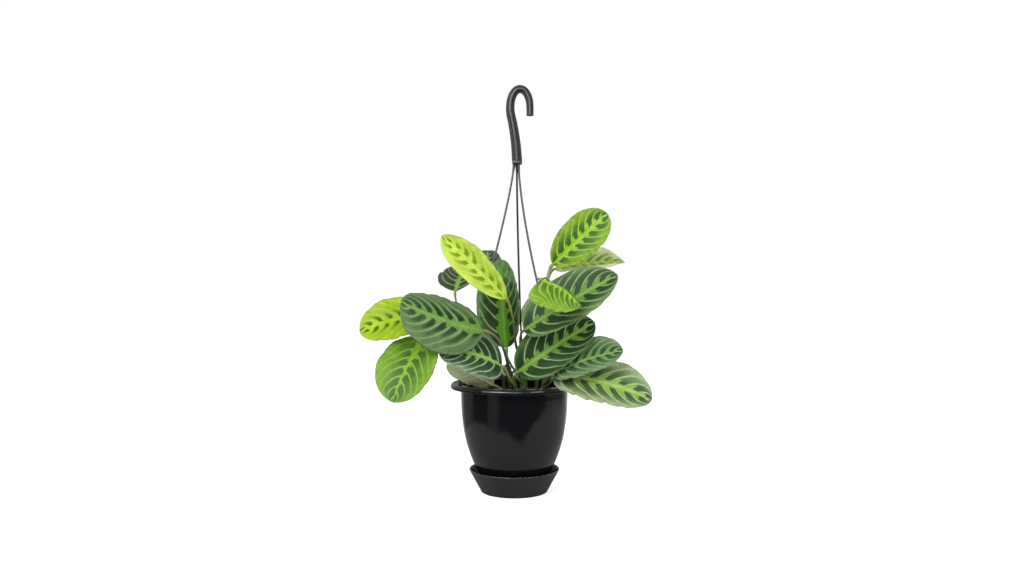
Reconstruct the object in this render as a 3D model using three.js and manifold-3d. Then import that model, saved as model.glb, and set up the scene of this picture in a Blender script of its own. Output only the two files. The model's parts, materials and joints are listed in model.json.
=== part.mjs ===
// A prayer plant with lime-veined leaves in a black hanging pot, with its saucer and its moulded hanger.
// Millimetres, +Z up. The origin is the middle of the saucer's underside, and -Y is the plant's show side.
// The pot, the saucer and the soil are turned shapes, the hanger is a swept cross-shaped bar with three rods,
// and each leaf is a thin waved blade on a stalk that grows from one of seven shoots rooted in the soil.

import * as THREE from "three";
import { mergeVertices } from "three/addons/utils/BufferGeometryUtils.js";
import Module from "manifold-3d";

const wasm = await Module();
wasm.setup();

// Clearance kept between pieces that touch on the real plant.
const GAP = 0.3;
const TURNED_SEGMENTS = 32;

// Saucer: a flared dish with a small rounded foot.
const SAUCER_RIM_RADIUS = 56.5;
const SAUCER_HEIGHT = 28.6;
const SAUCER_FOOT_RADIUS = 43.2;
const SAUCER_WALL = 1.6;
const SAUCER_FLOOR = 2.4;
const SAUCER_RIB_THICKNESS = 1.8;
const SAUCER_RIBS = 4;

// Pot: an egg-shaped body under a wide rolled lip.
const POT_WALL = 1.8;
const POT_BOTTOM = SAUCER_FLOOR + GAP;
const POT_BODY = [
  [31, POT_BOTTOM],
  [35.5, POT_BOTTOM + 2],
  [40, 14],
  [46.3, 25.9],
  [50.8, 35.5],
  [56.2, 49.2],
  [62, 69.3],
  [65.9, 96],
  [67.1, 122],
];
const LIP_RADIUS = 80;
const LIP_TOP = 136.5;
const LIP_DROP = 6.3;
const LIP_EDGE_ROUND = 4;
const DRAIN_HOLES = 5;
const DRAIN_RADIUS = 4;
const DRAIN_CIRCLE = 20;

// Soil: fills the pot to a little under the lip.
const SOIL_TOP = 122;
const SOIL_CROWN = 4;
const SOIL_BOTTOM = POT_BOTTOM + POT_WALL + GAP;
const ROOT_DEPTH = 26;

// Hanger: a hook on a leaning shank, and three rods that clip through slots in the lip.
const HOOK_WIDTHS = [12.8, 8.8];
const HOOK_DEPTH = 8;
const HOOK_WEB = 2.2;
const HOOK_RIB = 2.8;
const HOOK_BEND_CENTRE = [7.25, 481.5];
const HOOK_BEND_RADII = [12.35, 22.6];
const HOOK_FREE_END = 470.4;
const HOOK_STEPS = 30;
const SHANK_FOOT = [3.6, 412];
const SHANK_POINTS = [[1.8, 436], [-1.6, 459], [-4.7, 474]];
const COLLAR_SIZE = [12, 12, 4.4];
const ROD_AZIMUTHS = [81, 203, 323];
const ROD_SPLAYS = [1.6, 1.24, 1.45];
const ROD_RADIUS = 1.25;
const ROD_ROOT_RADIUS = 1.9;
const ROD_ROOT_LENGTH = 11;
const ROD_SPREAD = 3.2;
const ROD_HUB = 2.7;
const SLOT_CIRCLE = 72.4;
const SLOT_SIZE = [3.2, 7.6];
const ROD_TAB_TOP = 150;
const ROD_TOGGLE = [3, 10.5, 2.6];

// Leaves and stalks.
const BLADE_THICKNESS = 0.8;
const BLADE_ROWS = 8;
const BLADE_COLUMNS = 6;
const BLADE_WIDEST = 0.47;
const STALK_SIDES = 6;
const STALK_STEPS = 9;
const STALK_RUN_IN = 0.25;

// Each shoot: the points its stem climbs through from the soil, and its girth at soil and top.
const SHOOTS = {
  shoot_front: { points: [[3, -32, 124], [1, -36, 138], [-3, -40, 150]], girth: [3, 2.1] },
  shoot_left: { points: [[-11, -36, 124], [-13, -37, 138], [-14, -36, 150]], girth: [2.6, 2] },
  shoot_centre: { points: [[12, -24, 124], [11, -28, 145], [9, -31, 170]], girth: [6, 3] },
  shoot_right: { points: [[33, -20, 124], [36, -22, 138], [39, -22, 152]], girth: [3, 2] },
  shoot_back_left: { points: [[-26, 18, 124], [-30, 22, 150], [-33, 24, 175]], girth: [3, 2] },
  shoot_back: { points: [[-4, 34, 124], [-8, 36, 140], [-10, 38, 156]], girth: [3.2, 2] },
  shoot_back_right: { points: [[28, 20, 124], [30, 22, 150], [33, 22, 178]], girth: [3, 2] },
};

// Each leaf: the blade's two ends, its flat width, the way its upper face looks, the bow of its midrib
// towards that face, the bend of its midrib to the side, and for its two halves the angle at the midrib
// and the further turn out to the margin, in degrees. A stalk leaves its stem at a share of the stem's
// length, runs through its points and ends with its own girth.
const LEAVES = {
  leaf_01: { shoot: "shoot_centre", base: [-10, -54, 243], tip: [-85, -72, 317], width: 43, widest: 0.6,
    heel: 0.7, point: 0.62, face: [-0.2, -1, 0.5], bow: 5, halves: [[5, 20], [24, 38]], girth: 1.4,
    stalk: [[2, -41, 186], [-1, -48, 215]] },
  leaf_02: { shoot: "shoot_back_left", base: [-74.5, 10, 251], tip: [-56, 58, 282], width: 60,
    widest: 0.36, face: [-0.3, -0.5, 0.9], bow: 6, halves: [[8, 10], [8, 10]], girth: 1.25,
    stalk: [[-56, 23, 194], [-71.5, 14, 228]] },
  leaf_03: { shoot: "shoot_back_left", base: [-36, 60, 254], tip: [-36, 100, 305], width: 40,
    face: [0, -0.7, 0.7], bow: 5, halves: [[8, 10], [8, 10]], stalk: [[-37, 42, 212]] },
  leaf_04: { shoot: "shoot_centre", base: [-9.6, -34, 183], tip: [-15, -26, 290], width: 66,
    face: [0, -1, 0.2], bow: -3, bend: -2, halves: [[8, 12], [-38, -25]], leave: 0.35, girth: 1.25,
    stalk: [[-1.7, -33, 158], [-8.4, -35, 171.5]] },
  leaf_05: { shoot: "shoot_front", base: [-35.5, -62, 205], tip: [-131, -90, 240], width: 80,
    face: [-0.1, -1, 0.6], bow: 3, bend: -5, halves: [[-8, -12], [-14, -20]], girth: 1.6,
    stalk: [[-7.7, -44, 163], [-13.7, -50, 184], [-22, -57, 197.5]] },
  leaf_06: { shoot: "shoot_left", base: [-107, -45, 224], tip: [-184, -58, 204], width: 60,
    face: [-0.2, -1, 0.7], bow: 6, halves: [[4, 8], [4, 8]], stalk: [[-58, -40, 197]] },
  leaf_07: { shoot: "shoot_left", base: [-106, -56, 196.5], tip: [-140, -100, 126], width: 70,
    widest: 0.55, heel: 0.52, face: [-0.2, -1, 0.6], bow: 8, halves: [[4, 8], [4, 8]],
    stalk: [[-60, -44, 187], [-91, -47, 199]] },
  leaf_08: { shoot: "shoot_front", base: [-15, -50, 162], tip: [-89, -75, 183], width: 64, widest: 0.4,
    heel: 0.42, face: [-0.1, -1, 0.8], bow: 6, bend: 3, halves: [[4, 8], [4, 8]], leave: 0.3,
    stalk: [[-5.5, -42.5, 145.5], [-9.5, -46.5, 155.5]] },
  leaf_09: { shoot: "shoot_left", base: [-26, -44, 139], tip: [-80, -57, 165], width: 38,
    face: [0.1, 1, 0.5], bow: 4, halves: [[4, 8], [4, 8]], leave: 0.15, stalk: [[-18.5, -41, 134.8]] },
  leaf_10: { shoot: "shoot_right", base: [47.5, -20, 284], tip: [112, -40, 346], width: 52, widest: 0.6,
    heel: 0.6, face: [0.1, -1, 0.3], bow: 4, halves: [[5, 10], [5, 10]], girth: 1.8,
    stalk: [[38, -14, 190], [37, -14, 245], [41.5, -17, 270]] },
  leaf_11: { shoot: "shoot_back_right", base: [52, 5, 279], tip: [137, -15, 287], width: 60, point: 0.95,
    face: [0, -0.6, 1], bow: 4, halves: [[8, 10], [10, 10]], stalk: [[40, 10, 235], [43, 9, 266]] },
  leaf_12: { shoot: "shoot_centre", base: [11.4, -56, 204.8], tip: [119.6, -82, 271], width: 66,
    widest: 0.52, point: 0.6, face: [0.1, -1, 0.6], bow: 6, halves: [[4, 8], [14, 14]],
    stalk: [[7.5, -38, 183], [7, -48, 196]] },
  leaf_13: { shoot: "shoot_right", base: [30.7, -94, 266], tip: [73.4, -119.5, 236], width: 75,
    widest: 0.32, heel: 0.42, face: [0.1, -1, 0.4], bow: 4, bend: -4, halves: [[-50, -50], [5, 15]],
    stalk: [[50, -25, 200], [48, -38, 246], [40, -57, 266], [32, -80, 266.5]] },
  leaf_14: { shoot: "shoot_centre", base: [3.6, -42, 153.2], tip: [95, -58, 215], width: 64,
    face: [0.1, -1, 0.5], bow: 6, halves: [[12, 10], [14, 14]], leave: 0.2, girth: 1.5,
    stalk: [[8, -34, 140], [4, -39.5, 146]] },
  leaf_15: { shoot: "shoot_right", base: [47.2, -58, 153], tip: [125.3, -88, 184], width: 56,
    widest: 0.58, face: [0.1, -1, 1], bow: 6, halves: [[2, 6], [8, 14]], leave: 0.25,
    stalk: [[39.5, -33, 142], [43.5, -47, 149.5]] },
  leaf_16: { shoot: "shoot_right", base: [48, -57, 149], tip: [156.6, -100, 128], width: 64,
    widest: 0.56, face: [0.1, -1, 0.8], bow: 13, halves: [[4, 8], [6, 10]], leave: 0.15,
    stalk: [[40.5, -34, 136.5], [44.5, -47, 144]] },
  leaf_17: { shoot: "shoot_back_left", base: [-38, 45, 170], tip: [-88, 100, 174], width: 56,
    face: [-0.3, 0.3, 1], bow: 8, halves: [[6, 10], [6, 10]], leave: 0.6, stalk: [[-34.5, 34, 166]] },
  leaf_18: { shoot: "shoot_back", base: [-22, 56, 152], tip: [-42, 136, 96], width: 54,
    face: [-0.1, 1, 0.8], bow: 10, halves: [[6, 10], [6, 10]], leave: 0.35, stalk: [[-15, 45, 150]] },
  leaf_19: { shoot: "shoot_back_right", base: [44, 46, 168], tip: [100, 112, 152], width: 58,
    face: [0.4, 0.4, 1], bow: 9, halves: [[6, 10], [6, 10]], leave: 0.6, stalk: [[37, 33, 167]] },
  leaf_20: { shoot: "shoot_back_right", base: [40, 42, 198], tip: [96, 108, 226], width: 58,
    face: [-0.2, 0.7, 1], bow: 8, halves: [[6, 10], [6, 10]], stalk: [[36, 31, 187]] },
  leaf_21: { shoot: "shoot_back_left", base: [-10, 10, 200], tip: [-20, 28, 280], width: 44,
    face: [0, 1, 0.3], bow: 5, halves: [[8, 12], [8, 12]], leave: 0.7, stalk: [[-22, 17, 181]] },
  leaf_22: { shoot: "shoot_back_left", base: [-44, 40, 190], tip: [-100, 76, 203], width: 54,
    face: [-0.3, 0.9, 0.9], bow: 7, halves: [[6, 10], [6, 10]], stalk: [[-38, 33, 184]] },
  leaf_23: { shoot: "shoot_back_left", base: [-48, 58, 156], tip: [-64, 122, 124], width: 52,
    face: [-0.4, 0.7, 1], bow: 9, halves: [[6, 10], [6, 10]], leave: 0.45, stalk: [[-37, 41, 157]] },
  leaf_24: { shoot: "shoot_back", base: [26, 60, 152], tip: [58, 138, 100], width: 54,
    face: [0.1, 1, 0.8], bow: 10, halves: [[6, 10], [6, 10]], leave: 0.35, stalk: [[6, 47, 150]] },
  leaf_25: { shoot: "shoot_back_left", base: [-50, 12, 178], tip: [-106, 26, 192], width: 50,
    face: [-0.4, 0.3, 1], bow: 7, halves: [[6, 10], [6, 10]], leave: 0.7, stalk: [[-42, 17, 174]] },
  leaf_26: { shoot: "shoot_back_right", base: [48, 10, 192], tip: [98, 34, 204], width: 48,
    face: [-0.1, 0.3, 1], bow: 7, halves: [[6, 10], [6, 10]], leave: 0.8, stalk: [[40, 16, 185]] },
  leaf_27: { shoot: "shoot_back_right", base: [22, 36, 206], tip: [38, 82, 250], width: 42,
    face: [0.2, 1, 0.2], bow: 5, halves: [[8, 10], [8, 10]], stalk: [[28, 29, 194]] },
  leaf_28: { shoot: "shoot_back_left", base: [-15, 38, 198], tip: [-17, 68, 243], width: 36,
    face: [-0.1, 1, 0.4], bow: 5, halves: [[8, 10], [8, 10]], stalk: [[-26, 31, 188]] },
  leaf_29: { shoot: "shoot_back_right", base: [50, 14, 154], tip: [110, 32, 134], width: 50,
    face: [0.5, 0.2, 1], bow: 8, halves: [[6, 10], [6, 10]], leave: 0.4, stalk: [[41, 18, 155]] },
};

const FINISHES = {
  potPlastic: { color: 0x1a1a1d, roughness: 0.22, metalness: 0 },
  saucerPlastic: { color: 0x2c2c2d, roughness: 0.5, metalness: 0 },
  hangerPlastic: { color: 0x3a3a3c, roughness: 0.42, metalness: 0 },
  peat: { color: 0x2b2019, roughness: 0.95, metalness: 0 },
  stalk: { color: 0x75834a, roughness: 0.5, metalness: 0 },
  matureLeaf: { color: 0x46693a, roughness: 0.45, metalness: 0 },
  youngLeaf: { color: 0x9dc23c, roughness: 0.45, metalness: 0 },
};
const YOUNG_LEAVES = new Set(["leaf_01", "leaf_06", "leaf_07", "leaf_10", "leaf_13"]);

const plant = new THREE.Group();

function addMesh(name, geometry, finish) {
  const mesh = new THREE.Mesh(geometry, new THREE.MeshStandardMaterial(FINISHES[finish]));
  mesh.name = name;
  plant.add(mesh);
}

// Solids for joining and cutting

function toSolid(geometry) {
  const bare = new THREE.BufferGeometry();
  bare.setAttribute("position", geometry.getAttribute("position").clone());
  if (geometry.index) bare.setIndex(geometry.index.clone());
  const merged = mergeVertices(bare, 1e-4);
  return new wasm.Manifold(
    new wasm.Mesh({
      numProp: 3,
      vertProperties: new Float32Array(merged.attributes.position.array),
      triVerts: new Uint32Array(merged.index.array),
    }),
  );
}

function toGeometry(solid) {
  const mesh = solid.getMesh();
  const geometry = new THREE.BufferGeometry();
  geometry.setAttribute("position", new THREE.BufferAttribute(new Float32Array(mesh.vertProperties), 3));
  geometry.setIndex(new THREE.BufferAttribute(new Uint32Array(mesh.triVerts), 1));
  geometry.computeVertexNormals();
  return geometry;
}

// A closed turned body from [radius, height] points that run up its outside and down its inside.
function turned(profile, segments = TURNED_SEGMENTS) {
  const points = profile.map(([radius, height]) => new THREE.Vector2(radius, height));
  if (profile[0][0] > 0) points.push(points[0].clone());
  const geometry = new THREE.LatheGeometry(points, segments);
  return geometry.rotateX(Math.PI / 2);
}

// The same open line moved sideways by a distance, to its left when walked from first point to last.
function movedLine(line, distance) {
  return line.map(([x, y], i) => {
    const [ax, ay] = line[Math.max(i - 1, 0)];
    const [bx, by] = line[Math.min(i + 1, line.length - 1)];
    const length = Math.hypot(bx - ax, by - ay);
    return [x - ((by - ay) / length) * distance, y + ((bx - ax) / length) * distance];
  });
}

function arcLine(centre, radius, fromDegrees, toDegrees, steps) {
  return Array.from({ length: steps + 1 }, (_, i) => {
    const angle = THREE.MathUtils.degToRad(fromDegrees + ((toDegrees - fromDegrees) * i) / steps);
    return [centre[0] + radius * Math.cos(angle), centre[1] + radius * Math.sin(angle)];
  });
}

function box(size, centre) {
  return new THREE.BoxGeometry(...size).translate(...centre);
}

// Pot

function potProfile() {
  const drop = LIP_TOP - LIP_DROP;
  const round = LIP_EDGE_ROUND;
  const edgeCentre = [LIP_RADIUS - round, LIP_TOP - round];
  const neckCentre = [POT_BODY.at(-1)[0] + 3, LIP_TOP - POT_WALL - 3];
  const outside = [
    ...POT_BODY,
    ...arcLine(neckCentre, 3, 180, 90, 2),
    ...arcLine(edgeCentre, round - POT_WALL, 90, 0, 2),
    [LIP_RADIUS - POT_WALL, drop],
    [LIP_RADIUS, drop],
    ...arcLine(edgeCentre, round, 0, 90, 3),
    ...arcLine(neckCentre, 3 + POT_WALL, 90, 180, 2),
  ];
  const inside = movedLine(POT_BODY.slice(1), POT_WALL).reverse();
  inside.push([POT_BODY[0][0] - 1, POT_BOTTOM + POT_WALL], [0, POT_BOTTOM + POT_WALL]);
  return { outside, inside };
}

function makePot() {
  const { outside, inside } = potProfile();
  let solid = toSolid(turned([[0, POT_BOTTOM], ...outside, ...inside]));
  for (let i = 0; i < DRAIN_HOLES; i += 1) {
    const angle = (2 * Math.PI * i) / DRAIN_HOLES;
    const drill = new THREE.CylinderGeometry(DRAIN_RADIUS, DRAIN_RADIUS, 4 * POT_WALL, 12);
    drill.rotateX(Math.PI / 2).translate(DRAIN_CIRCLE, 0, POT_BOTTOM).rotateZ(angle);
    solid = solid.subtract(toSolid(drill));
  }
  for (const azimuth of ROD_AZIMUTHS) {
    const slot = box([...SLOT_SIZE, 4 * POT_WALL], [SLOT_CIRCLE, 0, LIP_TOP]);
    solid = solid.subtract(toSolid(slot.rotateZ(THREE.MathUtils.degToRad(azimuth))));
  }
  addMesh("pot", toGeometry(solid), "potPlastic");
}

// Saucer

function makeSaucer() {
  const footTop = 3.5;
  const innerFoot = SAUCER_FOOT_RADIUS - SAUCER_WALL - 0.6;
  const dish = turned([
    [0, 0],
    [SAUCER_FOOT_RADIUS - 2, 0],
    [SAUCER_FOOT_RADIUS, footTop],
    [SAUCER_RIM_RADIUS, SAUCER_HEIGHT - 0.6],
    [SAUCER_RIM_RADIUS - 0.5, SAUCER_HEIGHT],
    [SAUCER_RIM_RADIUS - SAUCER_WALL, SAUCER_HEIGHT],
    [innerFoot, SAUCER_FLOOR + 1.4],
    [innerFoot - 1.4, SAUCER_FLOOR],
    [0, SAUCER_FLOOR],
  ]);
  let solid = toSolid(dish);
  const rib = new THREE.Shape();
  rib.moveTo(innerFoot + 0.6, SAUCER_FLOOR - 0.6);
  rib.lineTo(SAUCER_RIM_RADIUS - 0.9, SAUCER_HEIGHT - 1.2);
  rib.lineTo(SAUCER_RIM_RADIUS - 4.6, SAUCER_HEIGHT - 1.2);
  rib.lineTo(innerFoot - 3, SAUCER_FLOOR - 0.6);
  for (let i = 0; i < SAUCER_RIBS; i += 1) {
    const plate = new THREE.ExtrudeGeometry(rib, { depth: SAUCER_RIB_THICKNESS, bevelEnabled: false });
    plate.translate(0, 0, -SAUCER_RIB_THICKNESS / 2).rotateX(Math.PI / 2);
    plate.rotateZ((2 * Math.PI * i) / SAUCER_RIBS);
    solid = solid.add(toSolid(plate));
  }
  addMesh("saucer", toGeometry(solid), "saucerPlastic");
}

// Soil, with a plain hole for each shoot

function makeSoil() {
  const wall = movedLine(POT_BODY.slice(1), POT_WALL + GAP);
  const below = wall.filter(([, height]) => height > SOIL_BOTTOM + 1 && height < SOIL_TOP - 1);
  const shoulder = wall.at(-1)[0] - 0.2;
  let solid = toSolid(
    turned([
      [0, SOIL_BOTTOM],
      [POT_BODY[0][0] - 2, SOIL_BOTTOM],
      ...below,
      [shoulder, SOIL_TOP - 0.5],
      [shoulder * 0.82, SOIL_TOP + SOIL_CROWN * 0.55],
      [shoulder * 0.45, SOIL_TOP + SOIL_CROWN],
      [0, SOIL_TOP + SOIL_CROWN],
    ]),
  );
  for (const { points, girth } of Object.values(SHOOTS)) {
    const hole = new THREE.CylinderGeometry(girth[0] + GAP, girth[0] + GAP, 2 * ROOT_DEPTH, 12);
    hole.rotateX(Math.PI / 2).translate(points[0][0], points[0][1], SOIL_TOP + GAP);
    solid = solid.subtract(toSolid(hole));
  }
  addMesh("soil", toGeometry(solid), "peat");
}

// A closed bar along a curve. sectionAt gives its section's corners at a share of the way, and every
// section has the same number of corners.
function sweptBar(curve, sectionAt, steps) {
  const frames = curve.computeFrenetFrames(steps, false);
  const sides = sectionAt(0).length;
  const positions = [];
  const index = [];
  for (let i = 0; i <= steps; i += 1) {
    const centre = curve.getPointAt(i / steps);
    for (const [a, b] of sectionAt(i / steps)) {
      const corner = centre.clone().addScaledVector(frames.normals[i], a);
      positions.push(...corner.addScaledVector(frames.binormals[i], b).toArray());
    }
  }
  for (let i = 0; i < steps; i += 1) {
    for (let k = 0; k < sides; k += 1) {
      const a = i * sides + k;
      const b = i * sides + ((k + 1) % sides);
      index.push(a, b, b + sides, a, b + sides, a + sides);
    }
  }
  const last = steps * sides;
  const cap = THREE.ShapeUtils.triangulateShape(sectionAt(0).map(([a, b]) => new THREE.Vector2(a, b)), []);
  for (const [a, b, c] of cap) index.push(a, c, b, last + a, last + b, last + c);
  const geometry = new THREE.BufferGeometry();
  geometry.setAttribute("position", new THREE.Float32BufferAttribute(positions, 3));
  geometry.setIndex(index);
  return geometry;
}

// A round bar whose girth runs from the first value to the second.
function taperedTube(curve, girths, sides, steps) {
  const sectionAt = (share) => {
    const girth = THREE.MathUtils.lerp(girths[0], girths[1], share);
    return Array.from({ length: sides }, (_, k) => {
      const angle = (2 * Math.PI * k) / sides;
      return [girth * Math.cos(angle), girth * Math.sin(angle)];
    });
  };
  return sweptBar(curve, sectionAt, steps);
}

const vectors = (points) => points.map((point) => new THREE.Vector3(...point));

// Hanger

function hookLine() {
  const [cx, cz] = HOOK_BEND_CENTRE;
  const [rx, rz] = HOOK_BEND_RADII;
  const flat = [SHANK_FOOT, ...SHANK_POINTS];
  const bendSteps = 8;
  for (let i = 0; i <= bendSteps; i += 1) {
    const angle = Math.PI * (1 - i / bendSteps);
    flat.push([cx + rx * Math.cos(angle), cz + rz * Math.sin(angle)]);
  }
  flat.push([cx + rx, HOOK_FREE_END]);
  return new THREE.CatmullRomCurve3(flat.map(([x, z]) => new THREE.Vector3(x, 0, z)));
}

// The bar's cross: a web in the hook's plane and a rib across it.
function crossSection(share) {
  const width = THREE.MathUtils.lerp(HOOK_WIDTHS[0], HOOK_WIDTHS[1], share) / 2;
  const [depth, web, rib] = [HOOK_DEPTH / 2, HOOK_WEB / 2, HOOK_RIB / 2];
  return [
    [web, width], [-web, width], [-web, rib], [-depth, rib], [-depth, -rib], [-web, -rib],
    [-web, -width], [web, -width], [web, -rib], [depth, -rib], [depth, rib], [web, rib],
  ];
}

function makeHook() {
  const bar = sweptBar(hookLine(), crossSection, HOOK_STEPS);
  const collar = box(COLLAR_SIZE, [SHANK_FOOT[0], 0, SHANK_FOOT[1]]);
  addMesh("hook", toGeometry(toSolid(bar).add(toSolid(collar))), "hangerPlastic");
}

function makeRod(azimuth, number) {
  const turn = THREE.MathUtils.degToRad(azimuth);
  const outward = new THREE.Vector3(Math.cos(turn), Math.sin(turn), 0);
  const top = new THREE.Vector3(ROD_HUB, 0, SHANK_FOOT[1] - COLLAR_SIZE[2] / 2 - 2 * GAP);
  top.addScaledVector(outward, ROD_SPREAD);
  const bottom = outward.clone().multiplyScalar(SLOT_CIRCLE).setZ(ROD_TAB_TOP - 2);
  const steps = 6;
  const rod = new THREE.CatmullRomCurve3(
    Array.from({ length: steps + 1 }, (_, i) => {
      const share = i / steps;
      const point = top.clone().lerp(bottom, share ** ROD_SPLAYS[number - 1]);
      return point.setZ(THREE.MathUtils.lerp(top.z, bottom.z, share));
    }),
  );
  const root = new THREE.LineCurve3(top, rod.getPointAt(ROD_ROOT_LENGTH / rod.getLength()));
  const tabHeight = ROD_TAB_TOP - LIP_TOP + POT_WALL + ROD_TOGGLE[2] + GAP;
  const tabSize = [SLOT_SIZE[0] - 2 * GAP, SLOT_SIZE[1] - 2 * GAP, tabHeight];
  const tab = box(tabSize, [SLOT_CIRCLE, 0, ROD_TAB_TOP - tabHeight / 2]);
  const toggle = box(ROD_TOGGLE, [SLOT_CIRCLE, 0, ROD_TAB_TOP - tabHeight + ROD_TOGGLE[2] / 2]);
  const solid = toSolid(taperedTube(rod, [ROD_RADIUS, ROD_RADIUS], 8, 8))
    .add(toSolid(taperedTube(root, [ROD_ROOT_RADIUS, ROD_RADIUS], 8, 1)))
    .add(toSolid(tab.rotateZ(turn)))
    .add(toSolid(toggle.rotateZ(turn)));
  addMesh(`rod_${number}`, toGeometry(solid), "hangerPlastic");
}

// Leaf blades

// Half the blade's width at a share u of its length, as a share of its widest half. Heel and point say
// how far it narrows to its base and to its tip.
function outline(u, { widest = BLADE_WIDEST, heel = 0.5, point = 0.5 }) {
  if (u < widest) return (1 - ((widest - u) / widest) ** 2.2) ** heel;
  return (1 - ((u - widest) / (1 - widest)) ** 2.1) ** point;
}

// A point of the blade's middle surface and the way it faces there. u runs from base to tip and v from
// one margin, -1, over the midrib to the other margin, 1.
function bladePoint(leaf, u, v) {
  const base = new THREE.Vector3(...leaf.base);
  const along = new THREE.Vector3(...leaf.tip).sub(base);
  const length = along.length();
  along.normalize();
  const face = new THREE.Vector3(...leaf.face);
  face.addScaledVector(along, -face.dot(along)).normalize();
  const side = along.clone().cross(face);
  const twist = THREE.MathUtils.degToRad(leaf.twist ?? 0) * (u - 0.5);
  face.applyAxisAngle(along, twist);
  side.applyAxisAngle(along, twist);

  const half = (leaf.width / 2) * outline(u, leaf);
  const [first, further] = leaf.halves[v < 0 ? 0 : 1].map(THREE.MathUtils.degToRad);
  const reach = Math.abs(v);
  const turnHere = first + further * reach;
  const across = further ? (Math.sin(turnHere) - Math.sin(first)) / further : Math.cos(first) * reach;
  const lift = further ? (Math.cos(first) - Math.cos(turnHere)) / further : Math.sin(first) * reach;
  const wave = (leaf.wave ?? 1.2) * reach * reach * Math.sin(2 * Math.PI * (3 * u + (v < 0 ? 0.1 : 0.45)));
  const swell = 4 * u * (1 - u);

  return base
    .addScaledVector(along, length * u)
    .addScaledVector(side, Math.sign(v) * half * across + (leaf.bend ?? 0) * swell)
    .addScaledVector(face, half * lift + leaf.bow * swell + wave * Math.sin(Math.PI * u));
}

function makeBlade(name, leaf) {
  const rows = [];
  for (let i = 1; i < BLADE_ROWS; i += 1) {
    const u = (1 - Math.cos((Math.PI * i) / BLADE_ROWS)) / 2;
    for (let k = 0; k <= BLADE_COLUMNS; k += 1) rows.push(bladePoint(leaf, u, (2 * k) / BLADE_COLUMNS - 1));
  }
  const middle = [bladePoint(leaf, 0, 0), ...rows, bladePoint(leaf, 1, 0)];
  const faces = [];
  const at = (row, column) => 1 + row * (BLADE_COLUMNS + 1) + column;
  const tip = middle.length - 1;
  for (let k = 0; k < BLADE_COLUMNS; k += 1) {
    faces.push([0, at(0, k), at(0, k + 1)]);
    faces.push([tip, at(BLADE_ROWS - 2, k + 1), at(BLADE_ROWS - 2, k)]);
    for (let i = 0; i < BLADE_ROWS - 2; i += 1) {
      faces.push([at(i, k), at(i + 1, k), at(i + 1, k + 1)], [at(i, k), at(i + 1, k + 1), at(i, k + 1)]);
    }
  }
  // The mean facing at each point, for an even thickness.
  const facing = middle.map(() => new THREE.Vector3());
  for (const [a, b, c] of faces) {
    const normal = middle[b].clone().sub(middle[a]).cross(middle[c].clone().sub(middle[a]));
    for (const corner of [a, b, c]) facing[corner].add(normal);
  }
  facing.forEach((normal) => normal.normalize());
  const upper = middle.map((point, i) => point.clone().addScaledVector(facing[i], BLADE_THICKNESS / 2));
  const lower = middle.map((point, i) => point.clone().addScaledVector(facing[i], -BLADE_THICKNESS / 2));
  const count = middle.length;
  const index = [];
  const left = [];
  const right = [];
  for (let i = 0; i < BLADE_ROWS - 1; i += 1) {
    left.push(at(i, 0));
    right.push(at(i, BLADE_COLUMNS));
  }
  const margin = [0, ...left, tip, ...right.reverse()];
  for (const [a, b, c] of faces) index.push(a, b, c, a + count, c + count, b + count);
  margin.forEach((a, i) => {
    const b = margin[(i + 1) % margin.length];
    index.push(a, a + count, b + count, a, b + count, b);
  });
  const geometry = new THREE.BufferGeometry();
  geometry.setAttribute(
    "position",
    new THREE.Float32BufferAttribute([...upper, ...lower].flatMap((point) => point.toArray()), 3),
  );
  geometry.setIndex(index);
  addMesh(name, geometry, YOUNG_LEAVES.has(name) ? "youngLeaf" : "matureLeaf");
}

// Shoots: a stem rooted straight down in its hole, and the stalk of each leaf that grows from it

function makeShoot(name, { points, girth }) {
  const [foot] = vectors(points);
  const soilHere = SOIL_TOP + SOIL_CROWN;
  const rootEnd = foot.clone().setZ(SOIL_TOP + GAP - ROOT_DEPTH + 1);
  const root = new THREE.LineCurve3(rootEnd, foot.clone().setZ(soilHere + 1));
  const stem = new THREE.CatmullRomCurve3([foot.clone().setZ(soilHere), ...vectors(points.slice(1))]);
  let solid = toSolid(taperedTube(root, [girth[0], girth[0]], 8, 1));
  solid = solid.add(toSolid(taperedTube(stem, girth, 8, 4)));
  for (const leaf of Object.values(LEAVES).filter((one) => one.shoot === name)) {
    const leave = leaf.leave ?? 0.85;
    const inStem = [Math.max(0, leave - STALK_RUN_IN), leave].map((share) => stem.getPointAt(share));
    const base = new THREE.Vector3(...leaf.base);
    const into = base.clone().sub(bladePoint(leaf, 0.04, 0)).normalize();
    const end = base.addScaledVector(into, GAP + 0.3);
    const approach = end.clone().addScaledVector(into, 2.4);
    const path = new THREE.CatmullRomCurve3([...inStem, ...vectors(leaf.stalk), approach, end]);
    const girths = [Math.min(1.9, girth[1]), leaf.girth ?? 1.3];
    solid = solid.add(toSolid(taperedTube(path, girths, STALK_SIDES, STALK_STEPS)));
  }
  addMesh(name, toGeometry(solid), "stalk");
}

makeSaucer();
makePot();
makeSoil();
makeHook();
ROD_AZIMUTHS.forEach((azimuth, i) => makeRod(azimuth, i + 1));
for (const [name, shoot] of Object.entries(SHOOTS)) makeShoot(name, shoot);
for (const [name, leaf] of Object.entries(LEAVES)) makeBlade(name, leaf);

export default plant;
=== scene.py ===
"""Dresses a potted prayer plant: its leaves, stalks, soil, hanging pot, saucer and hanger.

Metres, +Z up. The origin is the middle of the saucer's underside, and -Y is the plant's show side.
"""

import json
import math
import random

import bmesh
import bpy
from bpy.props import FloatProperty, FloatVectorProperty, IntProperty, PointerProperty
from mathutils import Matrix, Vector, noise

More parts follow.
